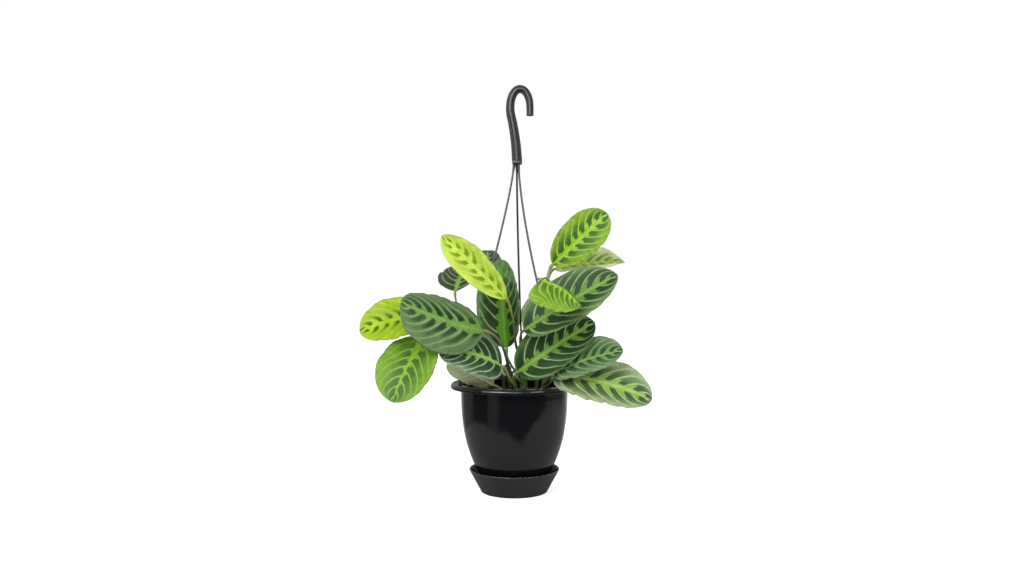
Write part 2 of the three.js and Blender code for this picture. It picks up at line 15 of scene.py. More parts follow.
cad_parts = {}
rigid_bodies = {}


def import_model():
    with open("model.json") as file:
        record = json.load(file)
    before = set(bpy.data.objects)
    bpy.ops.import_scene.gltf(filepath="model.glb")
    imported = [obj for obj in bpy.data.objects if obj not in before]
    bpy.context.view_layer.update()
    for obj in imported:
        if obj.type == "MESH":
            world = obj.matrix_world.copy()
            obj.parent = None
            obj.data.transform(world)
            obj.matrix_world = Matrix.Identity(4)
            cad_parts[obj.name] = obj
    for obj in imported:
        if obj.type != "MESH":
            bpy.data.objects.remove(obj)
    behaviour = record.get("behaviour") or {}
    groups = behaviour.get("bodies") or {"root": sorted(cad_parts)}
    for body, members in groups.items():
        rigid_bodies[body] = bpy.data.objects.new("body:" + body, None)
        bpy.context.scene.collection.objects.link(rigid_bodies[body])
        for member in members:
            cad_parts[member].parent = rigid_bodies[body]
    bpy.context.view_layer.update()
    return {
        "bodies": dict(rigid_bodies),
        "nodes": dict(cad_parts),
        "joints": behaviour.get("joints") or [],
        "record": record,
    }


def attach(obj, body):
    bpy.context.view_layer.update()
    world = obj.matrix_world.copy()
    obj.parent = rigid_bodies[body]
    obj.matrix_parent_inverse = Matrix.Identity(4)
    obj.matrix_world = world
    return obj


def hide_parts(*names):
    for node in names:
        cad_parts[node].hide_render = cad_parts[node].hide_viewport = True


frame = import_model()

bl_info = {
    "name": "Potted prayer plant",
    "version": (1, 0, 0),
    "blender": (4, 5, 0),
    "location": "3D View > Sidebar > Plant",
    "description": "Makes a prayer plant in a hanging pot, piece by piece",
    "category": "Object",
}

BODY = "root"
MM = 0.001
SPAN_STEPS = 24

# Sizes of the pot, in millimetres. Its body is [radius, height] points up the outside.
POT_BODY = [
    [31, 2.7], [35.5, 4.7], [40, 14], [46.3, 25.9], [50.8, 35.5], [56.2, 49.2], [62, 69.3], [65.9, 96],
    [67.1, 122],
]
POT_WALL = 1.8
POT_FOOT_CENTRE = [31.6, 6.6]
POT_FOOT_ROUND = 3.9
LIP_RADIUS = 80
LIP_TOP = 136.5
LIP_DROP = 6.3
LIP_EDGE_ROUND = 4
NECK_ROUND = 3
DRAIN_HOLES = 5
DRAIN_RADIUS = 4
DRAIN_CIRCLE = 20
CUT_DEPTH = 4 * POT_WALL
TURNED_STEPS = 120
TURNED_WELD = 0.001

# Sizes of the saucer, in millimetres. A rib's head and foot are [outer, inner] distances from the rim and
# from the inner wall's foot. Rim and foot edges are smoother, and lighter as a painted highlight.
SAUCER_RIM_RADIUS = 56.5
SAUCER_HEIGHT = 28.6
SAUCER_FOOT_RADIUS = 43.2
SAUCER_WALL = 1.6
SAUCER_FLOOR = 2.4
SAUCER_FOOT_TOP = 3.5
SAUCER_FOOT_INSET = 2.6
SAUCER_FOOT_ROUND = 1.6
SAUCER_STEP_ROUND = 1
SAUCER_WALL_LEAN = 0.6
SAUCER_COVE = 1.4
SAUCER_RIBS = 4
SAUCER_RIB_THICKNESS = 1.8
SAUCER_RIB_HEAD = [-0.9, -4.6]
SAUCER_RIB_FOOT = [0.6, -3]
SAUCER_RIB_DROP = 1.2
SAUCER_RIB_SUNK = 0.6
SAUCER_RIM_HIGHLIGHT_BAND = 2
SAUCER_FOOT_HIGHLIGHT_BAND = 1.9
SAUCER_POLISH_AND_HIGHLIGHT = -0.8

# Sizes of the soil, in millimetres, with the scales of its roughness and lumps. Crumbs differ from a
# middling one by shares: the usual sizes, and [least, most] for each draw, the tilt in radians.
SOIL_TOP = 122
SOIL_EDGE_DROP = 0.5
SOIL_CROWN = 4
SOIL_CROWN_FULLNESS = 2.5
SOIL_BOTTOM = 4.8
SOIL_RADIUS = POT_BODY[-1][0] - POT_WALL - 0.5
SOIL_GAP = 0.3
SOIL_STEPS = 144
SOIL_CROWN_STEPS = 40
SOIL_ROUGHNESS = 1.1
SOIL_ROUGHNESS_SCALE = 260
SOIL_LUMPS = 1.4
SOIL_LUMPS_SCALE = 60
CRUMB_SIZES = [0.35, 0.5, 0.5, 0.7, 1.0]
CRUMB_REACH = 0.97
CRUMB_GROWTH = [0.7, 1.3]
CRUMB_SHAPE = [[0.7, 1.6], [0.6, 1], [0.4, 0.8]]
CRUMB_DENTS = [0.75, 1.2]
CRUMB_TILT = [0, 3]

# Sizes of the hanger, in millimetres and degrees. The hook lies in the XZ plane. Its web gets painted shade,
# by a share, and its corners with the rib get it in full.
HOOK_WIDTHS = [12.8, 8.8]
HOOK_DEPTH = 8
HOOK_WEB = 2.2
HOOK_RIB = 2.8
HOOK_BEND_CENTRE = [7.25, 481.5]
HOOK_BEND_RADII = [12.35, 22.6]
HOOK_FREE_END = 470.4
HOOK_BEND_POINTS = 8
HOOK_STEPS = 110
HOOK_SHARP_ANGLE = 50
HOOK_EDGE_ROUND = 0.35
HOOK_WEB_MARGIN = 0.2
HOOK_WEB_SHADE = 0.75
HOOK_CORNER_MARGIN = 0.05
SHANK_FOOT = [3.6, 412]
SHANK_POINTS = [[1.8, 436], [-1.6, 459], [-4.7, 474]]
COLLAR_SIZE = [12, 12, 4.4]
COLLAR_ROUND = 0.9
ROD_AZIMUTHS = [81, 203, 323]
ROD_SPLAYS = [1.6, 1.24, 1.45]
ROD_RADIUS = 1.25
ROD_ROOT_RADIUS = 1.9
ROD_ROOT_LENGTH = 11
ROD_ROOT_FLARE = 0.8
ROD_SPREAD = 3.2
ROD_HUB = 2.7
ROD_TOP_SUNK = 0.4
ROD_END_SUNK = 2
ROD_STEPS = 48
SLOT_CIRCLE = 72.4
SLOT_SIZE = [3.2, 7.6]
SLOT_PLAY = 0.6
SLOT_ROUND = 0.5
ROD_TAB_TOP = 150
ROD_TAB_LEAD = 0.3
ROD_TOGGLE = [3, 10.5, 2.6]

# Shoots: the points each stem climbs through, in millimetres, and its radius at soil and top.
SHOOTS = {
    "shoot_front": {"points": [[3, -32, 124], [1, -36, 138], [-3, -40, 150]], "girth": [3, 2.1]},
    "shoot_left": {"points": [[-11, -36, 124], [-13, -37, 138], [-14, -36, 150]], "girth": [2.6, 2]},
    "shoot_centre": {"points": [[12, -24, 124], [11, -28, 145], [9, -31, 170]], "girth": [6, 3]},
    "shoot_right": {"points": [[33, -20, 124], [36, -22, 138], [39, -22, 152]], "girth": [3, 2]},
    "shoot_back_left": {"points": [[-26, 18, 124], [-30, 22, 150], [-33, 24, 175]], "girth": [3, 2]},
    "shoot_back": {"points": [[-4, 34, 124], [-8, 36, 140], [-10, 38, 156]], "girth": [3.2, 2]},
    "shoot_back_right": {"points": [[28, 20, 124], [30, 22, 150], [33, 22, 178]], "girth": [3, 2]},
}


def leaf(shoot, base, tip, width, face, bow, halves, stalk, look, **extra):
    """One leaf's own sizes, in millimetres and degrees, with the finish it has.

    Base and tip are the ends of its midrib, which bows out towards the face. Halves are the two halves'
    angles: where it leaves the midrib, and how far it then turns up to the margin, which is never 0. Stalk
    holds the points between stem and base. Of the extra sizes, widest is the place of greatest width, heel
    and point say how slim base and tip are, bend moves the midrib sideways, leave is the place on the stem,
    girth is the stalk's radius and ripple the height of the margin's quick ripples.
    """
    return dict(
        shoot=shoot, base=base, tip=tip, width=width, face=face, bow=bow, halves=halves, stalk=stalk,
        look=look, **extra,
    )


LEAVES = {
    "leaf_01": leaf("shoot_centre", [-10, -54, 243], [-85, -72, 317], 43, [-0.2, -1, 0.5], 5,
                    [[5, 20], [24, 38]], [[2, -41, 186], [-1, -48, 215]], "lime", widest=0.6, heel=0.7,
                    point=0.62, girth=1.4),
    "leaf_02": leaf("shoot_back_left", [-74.5, 10, 251], [-56, 58, 282], 60, [-0.3, -0.5, 0.9], 6,
                    [[8, 10], [8, 10]], [[-56, 23, 194], [-71.5, 14, 228]], "shade", widest=0.36,
                    girth=1.25),
    "leaf_03": leaf("shoot_back_left", [-36, 60, 254], [-36, 100, 305], 40, [0, -0.7, 0.7], 5,
                    [[8, 10], [8, 10]], [[-37, 42, 212]], "shade"),
    "leaf_04": leaf("shoot_centre", [-9.6, -34, 183], [-15, -26, 290], 66, [0, -1, 0.2], -3,
                    [[8, 12], [-38, -25]], [[-1.7, -33, 158], [-8.4, -35, 171.5]], "forest", bend=-2,
                    leave=0.35, girth=1.25),
    "leaf_05": leaf("shoot_front", [-35.5, -62, 205], [-131, -90, 240], 80, [-0.1, -1, 0.6], 3,
                    [[-8, -12], [-14, -20]], [[-7.7, -44, 163], [-13.7, -50, 184], [-22, -57, 197.5]],
                    "sage", bend=-5, girth=1.6),
    "leaf_06": leaf("shoot_left", [-107, -45, 224], [-184, -58, 204], 60, [-0.2, -1, 0.7], 6,
                    [[4, 8], [4, 8]], [[-58, -40, 197]], "fresh"),
    "leaf_07": leaf("shoot_left", [-106, -56, 196.5], [-140, -100, 126], 70, [-0.2, -1, 0.6], 8,
                    [[4, 8], [4, 8]], [[-60, -44, 187], [-91, -47, 199]], "spring", widest=0.55,
                    heel=0.52),
    "leaf_08": leaf("shoot_front", [-15, -50, 162], [-89, -75, 183], 64, [-0.1, -1, 0.8], 6,
                    [[4, 8], [4, 8]], [[-5.5, -42.5, 145.5], [-9.5, -46.5, 155.5]], "slate", widest=0.4,
                    heel=0.42, bend=3, leave=0.3),
    "leaf_09": leaf("shoot_left", [-26, -44, 139], [-80, -57, 165], 38, [0.1, 1, 0.5], 4,
                    [[4, 8], [4, 8]], [[-18.5, -41, 134.8]], "mature", leave=0.15),
    "leaf_10": leaf("shoot_right", [47.5, -20, 284], [112, -40, 346], 52, [0.1, -1, 0.3], 4,
                    [[5, 10], [5, 10]], [[38, -14, 190], [37, -14, 245], [41.5, -17, 270]], "bright",
                    widest=0.6, heel=0.6, girth=1.8, ripple=1.1),
    "leaf_11": leaf("shoot_back_right", [52, 5, 279], [137, -15, 287], 60, [0, -0.6, 1], 4,
                    [[8, 10], [10, 10]], [[40, 10, 235], [43, 9, 266]], "flecked", point=0.95),
    "leaf_12": leaf("shoot_centre", [11.4, -56, 204.8], [119.6, -82, 271], 66, [0.1, -1, 0.6], 6,
                    [[4, 8], [14, 14]], [[7.5, -38, 183], [7, -48, 196]], "mature", widest=0.52,
                    point=0.6),
    "leaf_13": leaf("shoot_right", [30.7, -94, 266], [73.4, -119.5, 236], 75, [0.1, -1, 0.4], 4,
                    [[-50, -50], [5, 15]],
                    [[50, -25, 200], [48, -38, 246], [40, -57, 266], [32, -80, 266.5]], "curled",
                    widest=0.32, heel=0.42, bend=-4, ripple=1.2),
    "leaf_14": leaf("shoot_centre", [3.6, -42, 153.2], [95, -58, 215], 64, [0.1, -1, 0.5], 6,
                    [[12, 10], [14, 14]], [[8, -34, 140], [4, -39.5, 146]], "deep", leave=0.2, girth=1.5),
    "leaf_15": leaf("shoot_right", [47.2, -58, 153], [125.3, -88, 184], 56, [0.1, -1, 1], 6,
                    [[2, 6], [8, 14]], [[39.5, -33, 142], [43.5, -47, 149.5]], "cool", widest=0.58,
                    leave=0.25),
    "leaf_16": leaf("shoot_right", [48, -57, 149], [156.6, -100, 128], 64, [0.1, -1, 0.8], 13,
                    [[4, 8], [6, 10]], [[40.5, -34, 136.5], [44.5, -47, 144]], "pale", widest=0.56,
                    leave=0.15, ripple=0.9),
    "leaf_17": leaf("shoot_back_left", [-38, 45, 170], [-88, 100, 174], 56, [-0.3, 0.3, 1], 8,
                    [[6, 10], [6, 10]], [[-34.5, 34, 166]], "mature", leave=0.6),
    "leaf_18": leaf("shoot_back", [-22, 56, 152], [-42, 136, 96], 54, [-0.1, 1, 0.8], 10,
                    [[6, 10], [6, 10]], [[-15, 45, 150]], "sage", leave=0.35),
    "leaf_19": leaf("shoot_back_right", [44, 46, 168], [100, 112, 152], 58, [0.4, 0.4, 1], 9,
                    [[6, 10], [6, 10]], [[37, 33, 167]], "mature", leave=0.6),
    "leaf_20": leaf("shoot_back_right", [40, 42, 198], [96, 108, 226], 58, [-0.2, 0.7, 1], 8,
                    [[6, 10], [6, 10]], [[36, 31, 187]], "cool"),
    "leaf_21": leaf("shoot_back_left", [-10, 10, 200], [-20, 28, 280], 44, [0, 1, 0.3], 5,
                    [[8, 12], [8, 12]], [[-22, 17, 181]], "spring", leave=0.7),
    "leaf_22": leaf("shoot_back_left", [-44, 40, 190], [-100, 76, 203], 54, [-0.3, 0.9, 0.9], 7,
                    [[6, 10], [6, 10]], [[-38, 33, 184]], "mature"),
    "leaf_23": leaf("shoot_back_left", [-48, 58, 156], [-64, 122, 124], 52, [-0.4, 0.7, 1], 9,
                    [[6, 10], [6, 10]], [[-37, 41, 157]], "cool", leave=0.45),
    "leaf_24": leaf("shoot_back", [26, 60, 152], [58, 138, 100], 54, [0.1, 1, 0.8], 10,
                    [[6, 10], [6, 10]], [[6, 47, 150]], "mature", leave=0.35),
    "leaf_25": leaf("shoot_back_left", [-50, 12, 178], [-106, 26, 192], 50, [-0.4, 0.3, 1], 7,
                    [[6, 10], [6, 10]], [[-42, 17, 174]], "sage", leave=0.7),
    "leaf_26": leaf("shoot_back_right", [48, 10, 192], [98, 34, 204], 48, [-0.1, 0.3, 1], 7,
                    [[6, 10], [6, 10]], [[40, 16, 185]], "mature", leave=0.8),
    "leaf_27": leaf("shoot_back_right", [22, 36, 206], [38, 82, 250], 42, [0.2, 1, 0.2], 5,
                    [[8, 10], [8, 10]], [[28, 29, 194]], "spring"),
    "leaf_28": leaf("shoot_back_left", [-15, 38, 198], [-17, 68, 243], 36, [-0.1, 1, 0.4], 5,
                    [[8, 10], [8, 10]], [[-26, 31, 188]], "fresh"),
    "leaf_29": leaf("shoot_back_right", [50, 14, 154], [110, 32, 134], 50, [0.5, 0.2, 1], 8,
                    [[6, 10], [6, 10]], [[41, 18, 155]], "mature", leave=0.4),
}

# Leaf blades: the outline's place of greatest width and how full it is towards base and tip, the margin's
# slow waves and their starts on both sides, its quicker ripples, the swells between laterals, the
# unevenness all over, the midrib, and how far laterals sweep to the tip.
BLADE_ROWS = 84
BLADE_COLUMNS = 44
BLADE_WELD = 0.01
MIDRIB_BUNCHING = 1.35
BLADE_WIDEST = 0.47
BASE_FULLNESS = 2.2
TIP_FULLNESS = 2.1
END_SLIMNESS = 0.5
BASE_START = 0.04
BLADE_WAVE = 1.2
BLADE_WAVES = 3
WAVE_STARTS = [0.1, 0.45]
BLADE_RIPPLE = 0.5
RIPPLE_COUNTS = [7, 13]
RIPPLE_SHARES = [1, 0.6]
RIPPLE_STAGGER = 0.3
RIPPLE_POWER = 5
SWELL_POWER = 0.8
SWELL_MARGIN_POWER = 6
BLADE_WANDER = 1.1
WANDER_COUNTS = [4, 2.2]
WANDER_SPREAD = 10
MIDRIB_GROOVE = 0.6
MIDRIB_GROOVE_WIDTH = 1.3
MIDRIB_GROOVE_TAPER = 0.6
MIDRIB_RIB_WIDTH = 1.1
MIDRIB_RIB_TAPER = 0.85
LATERAL_RISE = [0.15, 0.2]
LATERAL_FAN = 0.4
LEAF_SEED_STEP = 1.7
UNDERSIDE_TINT = 0.25

# Stems and stalks, in millimetres or shares of their length
STEM_STEPS = 40
STEM_SIDES = 18
STEM_ROOT = 6
STEM_NODE = 0.35
STEM_NODE_PLACE = 0.86
STEM_NODE_LENGTH = 0.06
STEM_TOP_ROUND = [0.6, 8]
STALK_STEPS = 64
STALK_SIDES = 12
STALK_FOOT = 1.9
STALK_GIRTH = 1.3
STALK_TAPER = [1.2, 0.7]
STALK_LEAVE = 0.85
STALK_RUN_IN = 0.25
STALK_RUN_OUT = 1.2
STALK_STRAIGHT = 3
STALK_CLOSE = 0.28
STALK_CLOSE_LENGTH = 1.6
JOINT_SWELL = 0.45
JOINT_LENGTH = 8

# Stage, in metres and radians. The floor is bright near the pot for gloss and dims past a zone whose edge
# DIM_EDGE moves: [azimuth from, to, shift from, to]. Strips are [azimuth, half width, strength].
CAMERA_PLACE = (-0.0029, -1.1, 0.27)
CAMERA_FOCAL = 876
PHOTO_SIZE = (1024, 576)
HORIZON_ROW = 276
SENSOR_WIDTH = 36
FLOOR_RADIUS = 9
DIM_ZONE = [0.42, 0.5]
DIM_SHARES = [0.62, 0.05]
DIM_WANDER = 0.12
DIM_EDGE = [[-1.53, 0.29, 0.05, 0.24], [0.29, 0.85, 0.0, -0.24], [0.85, 1.3, 0.0, -0.3]]
STRIPS = [[-0.76, 0.32, 0.3], [-1.95, 0.45, 0.34], [1.75, 0.42, 0.24]]
STRIP_CORE = 0.4
SIDE_GLOW = [[-2.1, -2.9, 1.3], [1.9, 2.8, 1.4]]
LIGHT_AIM = (0, 0, 0.2)
LIGHTS = {
    "key": {"place": (-0.75, -1.2, 1.15), "size": (0.8, 0.8)},
    "fill": {"place": (0.95, -1.0, 1.0), "size": (0.6, 0.8)},
    "gloss": {"place": (-0.7, -1.3, 0.9), "size": (2.4, 0.45)},
}

# The part of its range that a noise mostly keeps to
NOISE_SPAN = [0.3, 0.7]


def tone(red, green, blue):
    """A screen colour, 0 to 255, as the linear colour that shaders take."""
    return tuple(
        value / 255 / 12.92 if value <= 10 else ((value / 255 + 0.055) / 1.055) ** 2.4
        for value in (red, green, blue)
    )


# The common pattern, as shares of half the blade's width, except where a share of its length is named:
# how far the blotches reach, how pointed and how soft they are and how strong; the midrib band's half
# width, how much it spreads at the base, how far its lobes stand out and where along the blade most; how
# many laterals each half has and how steeply they sweep to the tip; how far the tip fades to the margin's
# colour.
PATTERN = {
    "Reach": 0.95, "Taper": 0.1, "Softness": 0.35, "Strength": 0.92,
    "Band Width": 0.09, "Base Spread": 0.05, "Lobes": 0.22, "Lobe Place": 0.6,
    "Laterals": 8, "Rise": 1, "Pale Tip": 0,
}


def look(field, margin, blotch, lateral, band, edge, **pattern):
    """A blade's colours between the laterals, at the margin, in the blotches and on the lines."""
    colours = {
        "Field": field, "Margin": margin, "Blotch": blotch, "Lateral": lateral, "Band": band, "Edge": edge,
    }
    given = {key.replace("_", " ").title(): value for key, value in pattern.items()}
    return {key: tone(*value) for key, value in colours.items()} | PATTERN | given


# Finishes of stems and stalks: colours from foot to top, shared out evenly along them.
SKINS = {
    "stem": [(58, 58, 40), (76, 88, 52), (88, 100, 60)],
    "green stem": [(78, 92, 54), (92, 120, 66), (84, 112, 60)],
    "brown stem": [(56, 40, 32), (62, 44, 36), (70, 62, 44)],
    "pale stem": [(112, 126, 82), (126, 140, 94), (132, 146, 98)],
    "stalk": [(72, 76, 48), (104, 116, 66), (132, 150, 86), (148, 160, 92)],
    "green stalk": [(58, 74, 42), (88, 112, 60), (118, 154, 80)],
    "pale stalk": [(108, 122, 80), (134, 148, 98), (152, 166, 108)],
    "dark stalk": [(54, 48, 36), (62, 56, 42), (78, 76, 50), (96, 100, 62)],
    "olive stalk": [(42, 44, 30), (50, 52, 36), (104, 112, 64), (142, 134, 84)],
    "lime stalk": [(50, 46, 34), (54, 50, 36), (84, 108, 46), (158, 154, 60)],
}
SKIN_OF = {
    "shoot_centre": "green stem", "shoot_left": "brown stem", "shoot_right": "pale stem",
    "leaf_01": "lime stalk", "leaf_04": "green stalk", "leaf_05": "olive stalk", "leaf_08": "pale stalk",
    "leaf_09": "pale stalk", "leaf_10": "pale stalk", "leaf_12": "dark stalk", "leaf_14": "green stalk",
    "leaf_15": "pale stalk", "leaf_16": "pale stalk",
}


def skin_at(skin, share):
    """The linear colour of a stem or stalk at a share of its length."""
    place = share * (len(skin) - 1)
    step = min(int(place), len(skin) - 2)
    low, high = Vector(tone(*skin[step])), Vector(tone(*skin[step + 1]))
    return (*low.lerp(high, place - step), 1.0)


LOOKS = {
    "mature": look(
        (68, 102, 46), (106, 138, 82), (38, 66, 32), (188, 216, 162), (106, 150, 50), (110, 116, 84),
        reach=0.88, lobes=0.26,
    ),
    "deep": look(
        (54, 90, 40), (76, 110, 56), (34, 60, 28), (188, 214, 160), (112, 156, 48), (104, 112, 80),
        taper=0.05, reach=1.1, lobes=0.28,
    ),
    "cool": look(
        (92, 126, 76), (120, 148, 106), (44, 72, 48), (190, 214, 176), (112, 154, 62), (116, 112, 98),
        reach=0.6, softness=0.7, band_width=0.06, base_spread=-0.05, lobes=0.24, lobe_place=0.62,
        rise=1.15,
    ),
    "slate": look(
        (82, 112, 74), (130, 154, 120), (42, 70, 42), (212, 228, 198), (134, 178, 60), (122, 134, 114),
        reach=0.95, base_spread=0, band_width=0.08, lobes=0.18, lobe_place=0.75, rise=1.2,
    ),
    "forest": look(
        (58, 92, 36), (104, 138, 88), (28, 52, 12), (164, 198, 134), (86, 140, 30), (104, 90, 92),
        taper=0.05, reach=1.0, band_width=0.14, base_spread=0.2, lobes=0.15, lobe_place=0.3, laterals=7,
        pale_tip=0.9,
    ),
    "sage": look(
        (88, 118, 64), (94, 122, 80), (30, 58, 32), (158, 190, 134), (104, 146, 56), (70, 96, 54),
        reach=0.7, taper=0.5, softness=0.4, strength=0.97, band_width=0.08, base_spread=0.16, lobes=0.1,
        rise=1.2, pale_tip=0.3,
    ),
    # The shade look: darker, greyer colours, painted shade for back leaves that sit in shadow.
    "shade": look(
        (84, 98, 68), (84, 92, 68), (54, 64, 42), (180, 190, 156), (112, 156, 46), (88, 86, 80),
        reach=1.1, taper=0.05, lobes=0.1,
    ),
    "pale": look(
        (110, 138, 84), (152, 172, 128), (58, 82, 54), (224, 234, 194), (140, 180, 78), (150, 160, 120),
        reach=0.62, softness=0.5, band_width=0.12, base_spread=-0.22, lobes=0.3, lobe_place=0.56,
        strength=0.88, rise=1.05, laterals=7,
    ),
    "flecked": look(
        (196, 216, 140), (216, 226, 172), (78, 112, 58), (218, 232, 166), (166, 200, 78), (150, 116, 96),
        reach=0.6, softness=0.45, lobes=0.3, strength=0.85,
    ),
    "spring": look(
        (108, 150, 42), (120, 164, 46), (54, 96, 36), (164, 202, 96), (132, 178, 34), (124, 132, 70),
        reach=0.7, softness=0.8, strength=0.8, band_width=0.04, lobes=0.12, lobe_place=0.25,
        base_spread=0.2, laterals=7, rise=1.4,
    ),
    "bright": look(
        (120, 164, 38), (134, 170, 46), (54, 94, 34), (190, 220, 110), (150, 196, 44), (136, 170, 60),
        reach=0.7, softness=0.45, band_width=0.1, lobes=0.18, strength=0.92,
    ),
    "curled": look(
        (112, 154, 40), (134, 172, 54), (62, 102, 28), (192, 218, 116), (140, 184, 46), (120, 138, 60),
        reach=0.6, taper=0.3, softness=0.6, band_width=0.05, lobes=0.12, strength=0.75, rise=2.2,
    ),
    "fresh": look(
        (150, 186, 26), (164, 190, 40), (66, 100, 8), (196, 222, 90), (170, 206, 30), (140, 146, 66),
        reach=0.46, taper=0.6, softness=0.3, lobes=0.14, strength=0.95, laterals=6.5, rise=1.3,
    ),
    "lime": look(
        (178, 204, 66), (202, 226, 96), (108, 142, 18), (216, 238, 122), (196, 224, 78), (160, 168, 92),
        reach=0.52, taper=0.5, softness=0.25, band_width=0.1, lobes=0.14, strength=0.92,
    ),
}
YOUNG_LOOKS = ("lime", "fresh", "spring", "bright", "curled")


# Settings, the sizes and colours that a user would change


def colour_setting(name, description, default):
    return FloatVectorProperty(
        name=name, description=description, default=default, subtype="COLOR", size=3, min=0, max=1,
    )


def length_setting(name, description, default):
    return FloatProperty(
        name=name, description=description, default=default, unit="LENGTH", precision=4, min=0,
    )


def share_setting(name, description, default):
    return FloatProperty(
        name=name, description=description, default=default, subtype="FACTOR", min=0, max=1,
    )


def power_setting(name, description, default):
    return FloatProperty(name=name, description=description, default=default, unit="POWER", min=0)


class PotSettings(bpy.types.PropertyGroup):
    colour: colour_setting("Plastic", "Colour of the gloss pot", tone(16, 17, 20))
    saucer_colour: colour_setting("Saucer plastic", "Colour of the matt saucer", tone(31, 31, 32))
    dullness: share_setting("Dullness", "How blurred the pot's reflections are", 0.12)
    lip_radius: length_setting("Lip radius", "Radius of the pot's rolled lip", LIP_RADIUS * MM)


class HangerSettings(bpy.types.PropertyGroup):
    colour: colour_setting("Plastic", "Colour of the hook and the rods", tone(46, 46, 49))
    rod_radius: length_setting("Rod radius", "Radius of each rod", ROD_RADIUS * MM)


class SoilSettings(bpy.types.PropertyGroup):
    colour: colour_setting("Soil", "Colour of the damp potting mix", tone(46, 34, 26))
    crumbs: IntProperty(name="Crumbs", description="Number of loose crumbs on the soil", default=620, min=0)
    crumb_size: length_setting("Crumb size", "Width of a middling crumb", 0.0032)


class StalkSettings(bpy.types.PropertyGroup):
    tint: colour_setting("Tint", "Tint over the colours of all stems and stalks", (1, 1, 1))


class LeafSettings(bpy.types.PropertyGroup):
    underside: colour_setting("Underside", "Colour of a leaf's lower face", tone(208, 216, 172))
    thickness: length_setting("Thickness", "Thickness of a blade", 0.0005)
    rib: length_setting("Rib", "Depth of the midrib under the blade's base", 0.0021)
    quilting: length_setting("Quilting", "Height of the swells between laterals", 0.00035)


class StageSettings(bpy.types.PropertyGroup):
    floor: colour_setting("Floor", "Colour of the plain floor", (0.86, 0.86, 0.86))
    glow: share_setting("Floor glow", "How far the floor lights itself, for a plain ground", 0.65)
    room: share_setting("Room", "Strength of the even light all round", 0.62)
    gloss_room: share_setting("Room in gloss", "Strength of the room in reflections", 0.5)
    key: power_setting("Key light", "Power of the main soft light", 12)
    fill: power_setting("Fill light", "Power of the weaker soft light", 6)
    gloss: power_setting("Gloss light", "Power of the wide light seen only in gloss", 24)


SETTINGS = {
    "plant_pot": PotSettings, "plant_hanger": HangerSettings, "plant_soil": SoilSettings,
    "plant_stalks": StalkSettings, "plant_leaves": LeafSettings, "plant_stage": StageSettings,
}


# Lines and frames


def lerp(a, b, share):
    return a + (b - a) * share


def smooth_line(points, steps):
    """A smooth line through points, in evenly spaced steps: a spline with knots spaced by root distance."""
    knots = [Vector(point) for point in points]
    knots = [2 * knots[0] - knots[1], *knots, 2 * knots[-1] - knots[-2]]
    dense = []
    for p0, p1, p2, p3 in zip(knots, knots[1:], knots[2:], knots[3:]):
        t1 = (p1 - p0).length ** 0.5
        t2 = t1 + (p2 - p1).length ** 0.5
        t3 = t2 + (p3 - p2).length ** 0.5
        for i in range(SPAN_STEPS):
            t = lerp(t1, t2, i / SPAN_STEPS)
            a1 = p0.lerp(p1, t / t1)
            a2 = p1.lerp(p2, (t - t1) / (t2 - t1))
            a3 = p2.lerp(p3, (t - t2) / (t3 - t2))
            b1 = a1.lerp(a2, t / t2)
            b2 = a2.lerp(a3, (t - t1) / (t3 - t1))
            dense.append(b1.lerp(b2, (t - t1) / (t2 - t1)))
    dense.append(knots[-2])
    return even_line(dense, steps)


def even_line(points, steps):
    """The same line with its points at even distances along it."""
    lengths = [0.0]
    for a, b in zip(points, points[1:]):
        lengths.append(lengths[-1] + (b - a).length)
    line = []
    k = 0
    for i in range(steps + 1):
        goal = lengths[-1] * i / steps
        while k < len(points) - 2 and lengths[k + 1] < goal:
            k += 1
        span = lengths[k + 1] - lengths[k]
        line.append(points[k].lerp(points[k + 1], (goal - lengths[k]) / span if span else 0))
    return line


def frames_along(line, girths, up=None):
    """A matrix at each point of a line: its local XY plane is the section, sized by the girth there."""
    nexts = [*line[1:], line[-1]]
    lasts = [line[0], *line[:-1]]
    tangents = [(after - before).normalized() for before, after in zip(lasts, nexts)]
    side = up or tangents[0].orthogonal()
    frames = []
    for point, tangent, girth in zip(line, tangents, girths):
        side = (side - tangent * side.dot(tangent)).normalized()
        across = tangent.cross(side)
        turn = Matrix((side, across, tangent)).transposed().to_4x4()
        frames.append(Matrix.Translation(point) @ turn @ Matrix.Diagonal((*girth, 1, 1)))
    return frames


def arc(centre, radius, start, end, steps):
    """Points round a centre, from one angle to another in degrees."""
    angles = [math.radians(lerp(start, end, i / steps)) for i in range(steps + 1)]
    return [[centre[0] + radius * math.cos(a), centre[1] + radius * math.sin(a)] for a in angles]


def moved_line(line, distance):
    """The same open outline moved to its left by a distance."""
    moved = []
    for i, (x, y) in enumerate(line):
        ax, ay = line[max(i - 1, 0)]
        bx, by = line[min(i + 1, len(line) - 1)]
        length = math.hypot(bx - ax, by - ay)
        moved.append([x - (by - ay) / length * distance, y + (bx - ax) / length * distance])
    return moved


# Meshes


def add_object(name, data):
    item = bpy.data.objects.new(name, data)
    bpy.context.scene.collection.objects.link(item)
    return item


def mesh_object(name, bm):
    """Turns a bmesh into a mesh with its own object."""
    mesh = bpy.data.meshes.new(name)
    bm.to_mesh(mesh)
    bm.free()
    return add_object(name, mesh)


def verts_of(geometry):
    return [item for item in geometry if isinstance(item, bmesh.types.BMVert)]


def soften(bm, edges, size):
    """Rounds edges by a size in millimetres."""
    bmesh.ops.bevel(bm, geom=edges, offset=size * MM, affect="EDGES", segments=2, profile=0.5, material=-1)


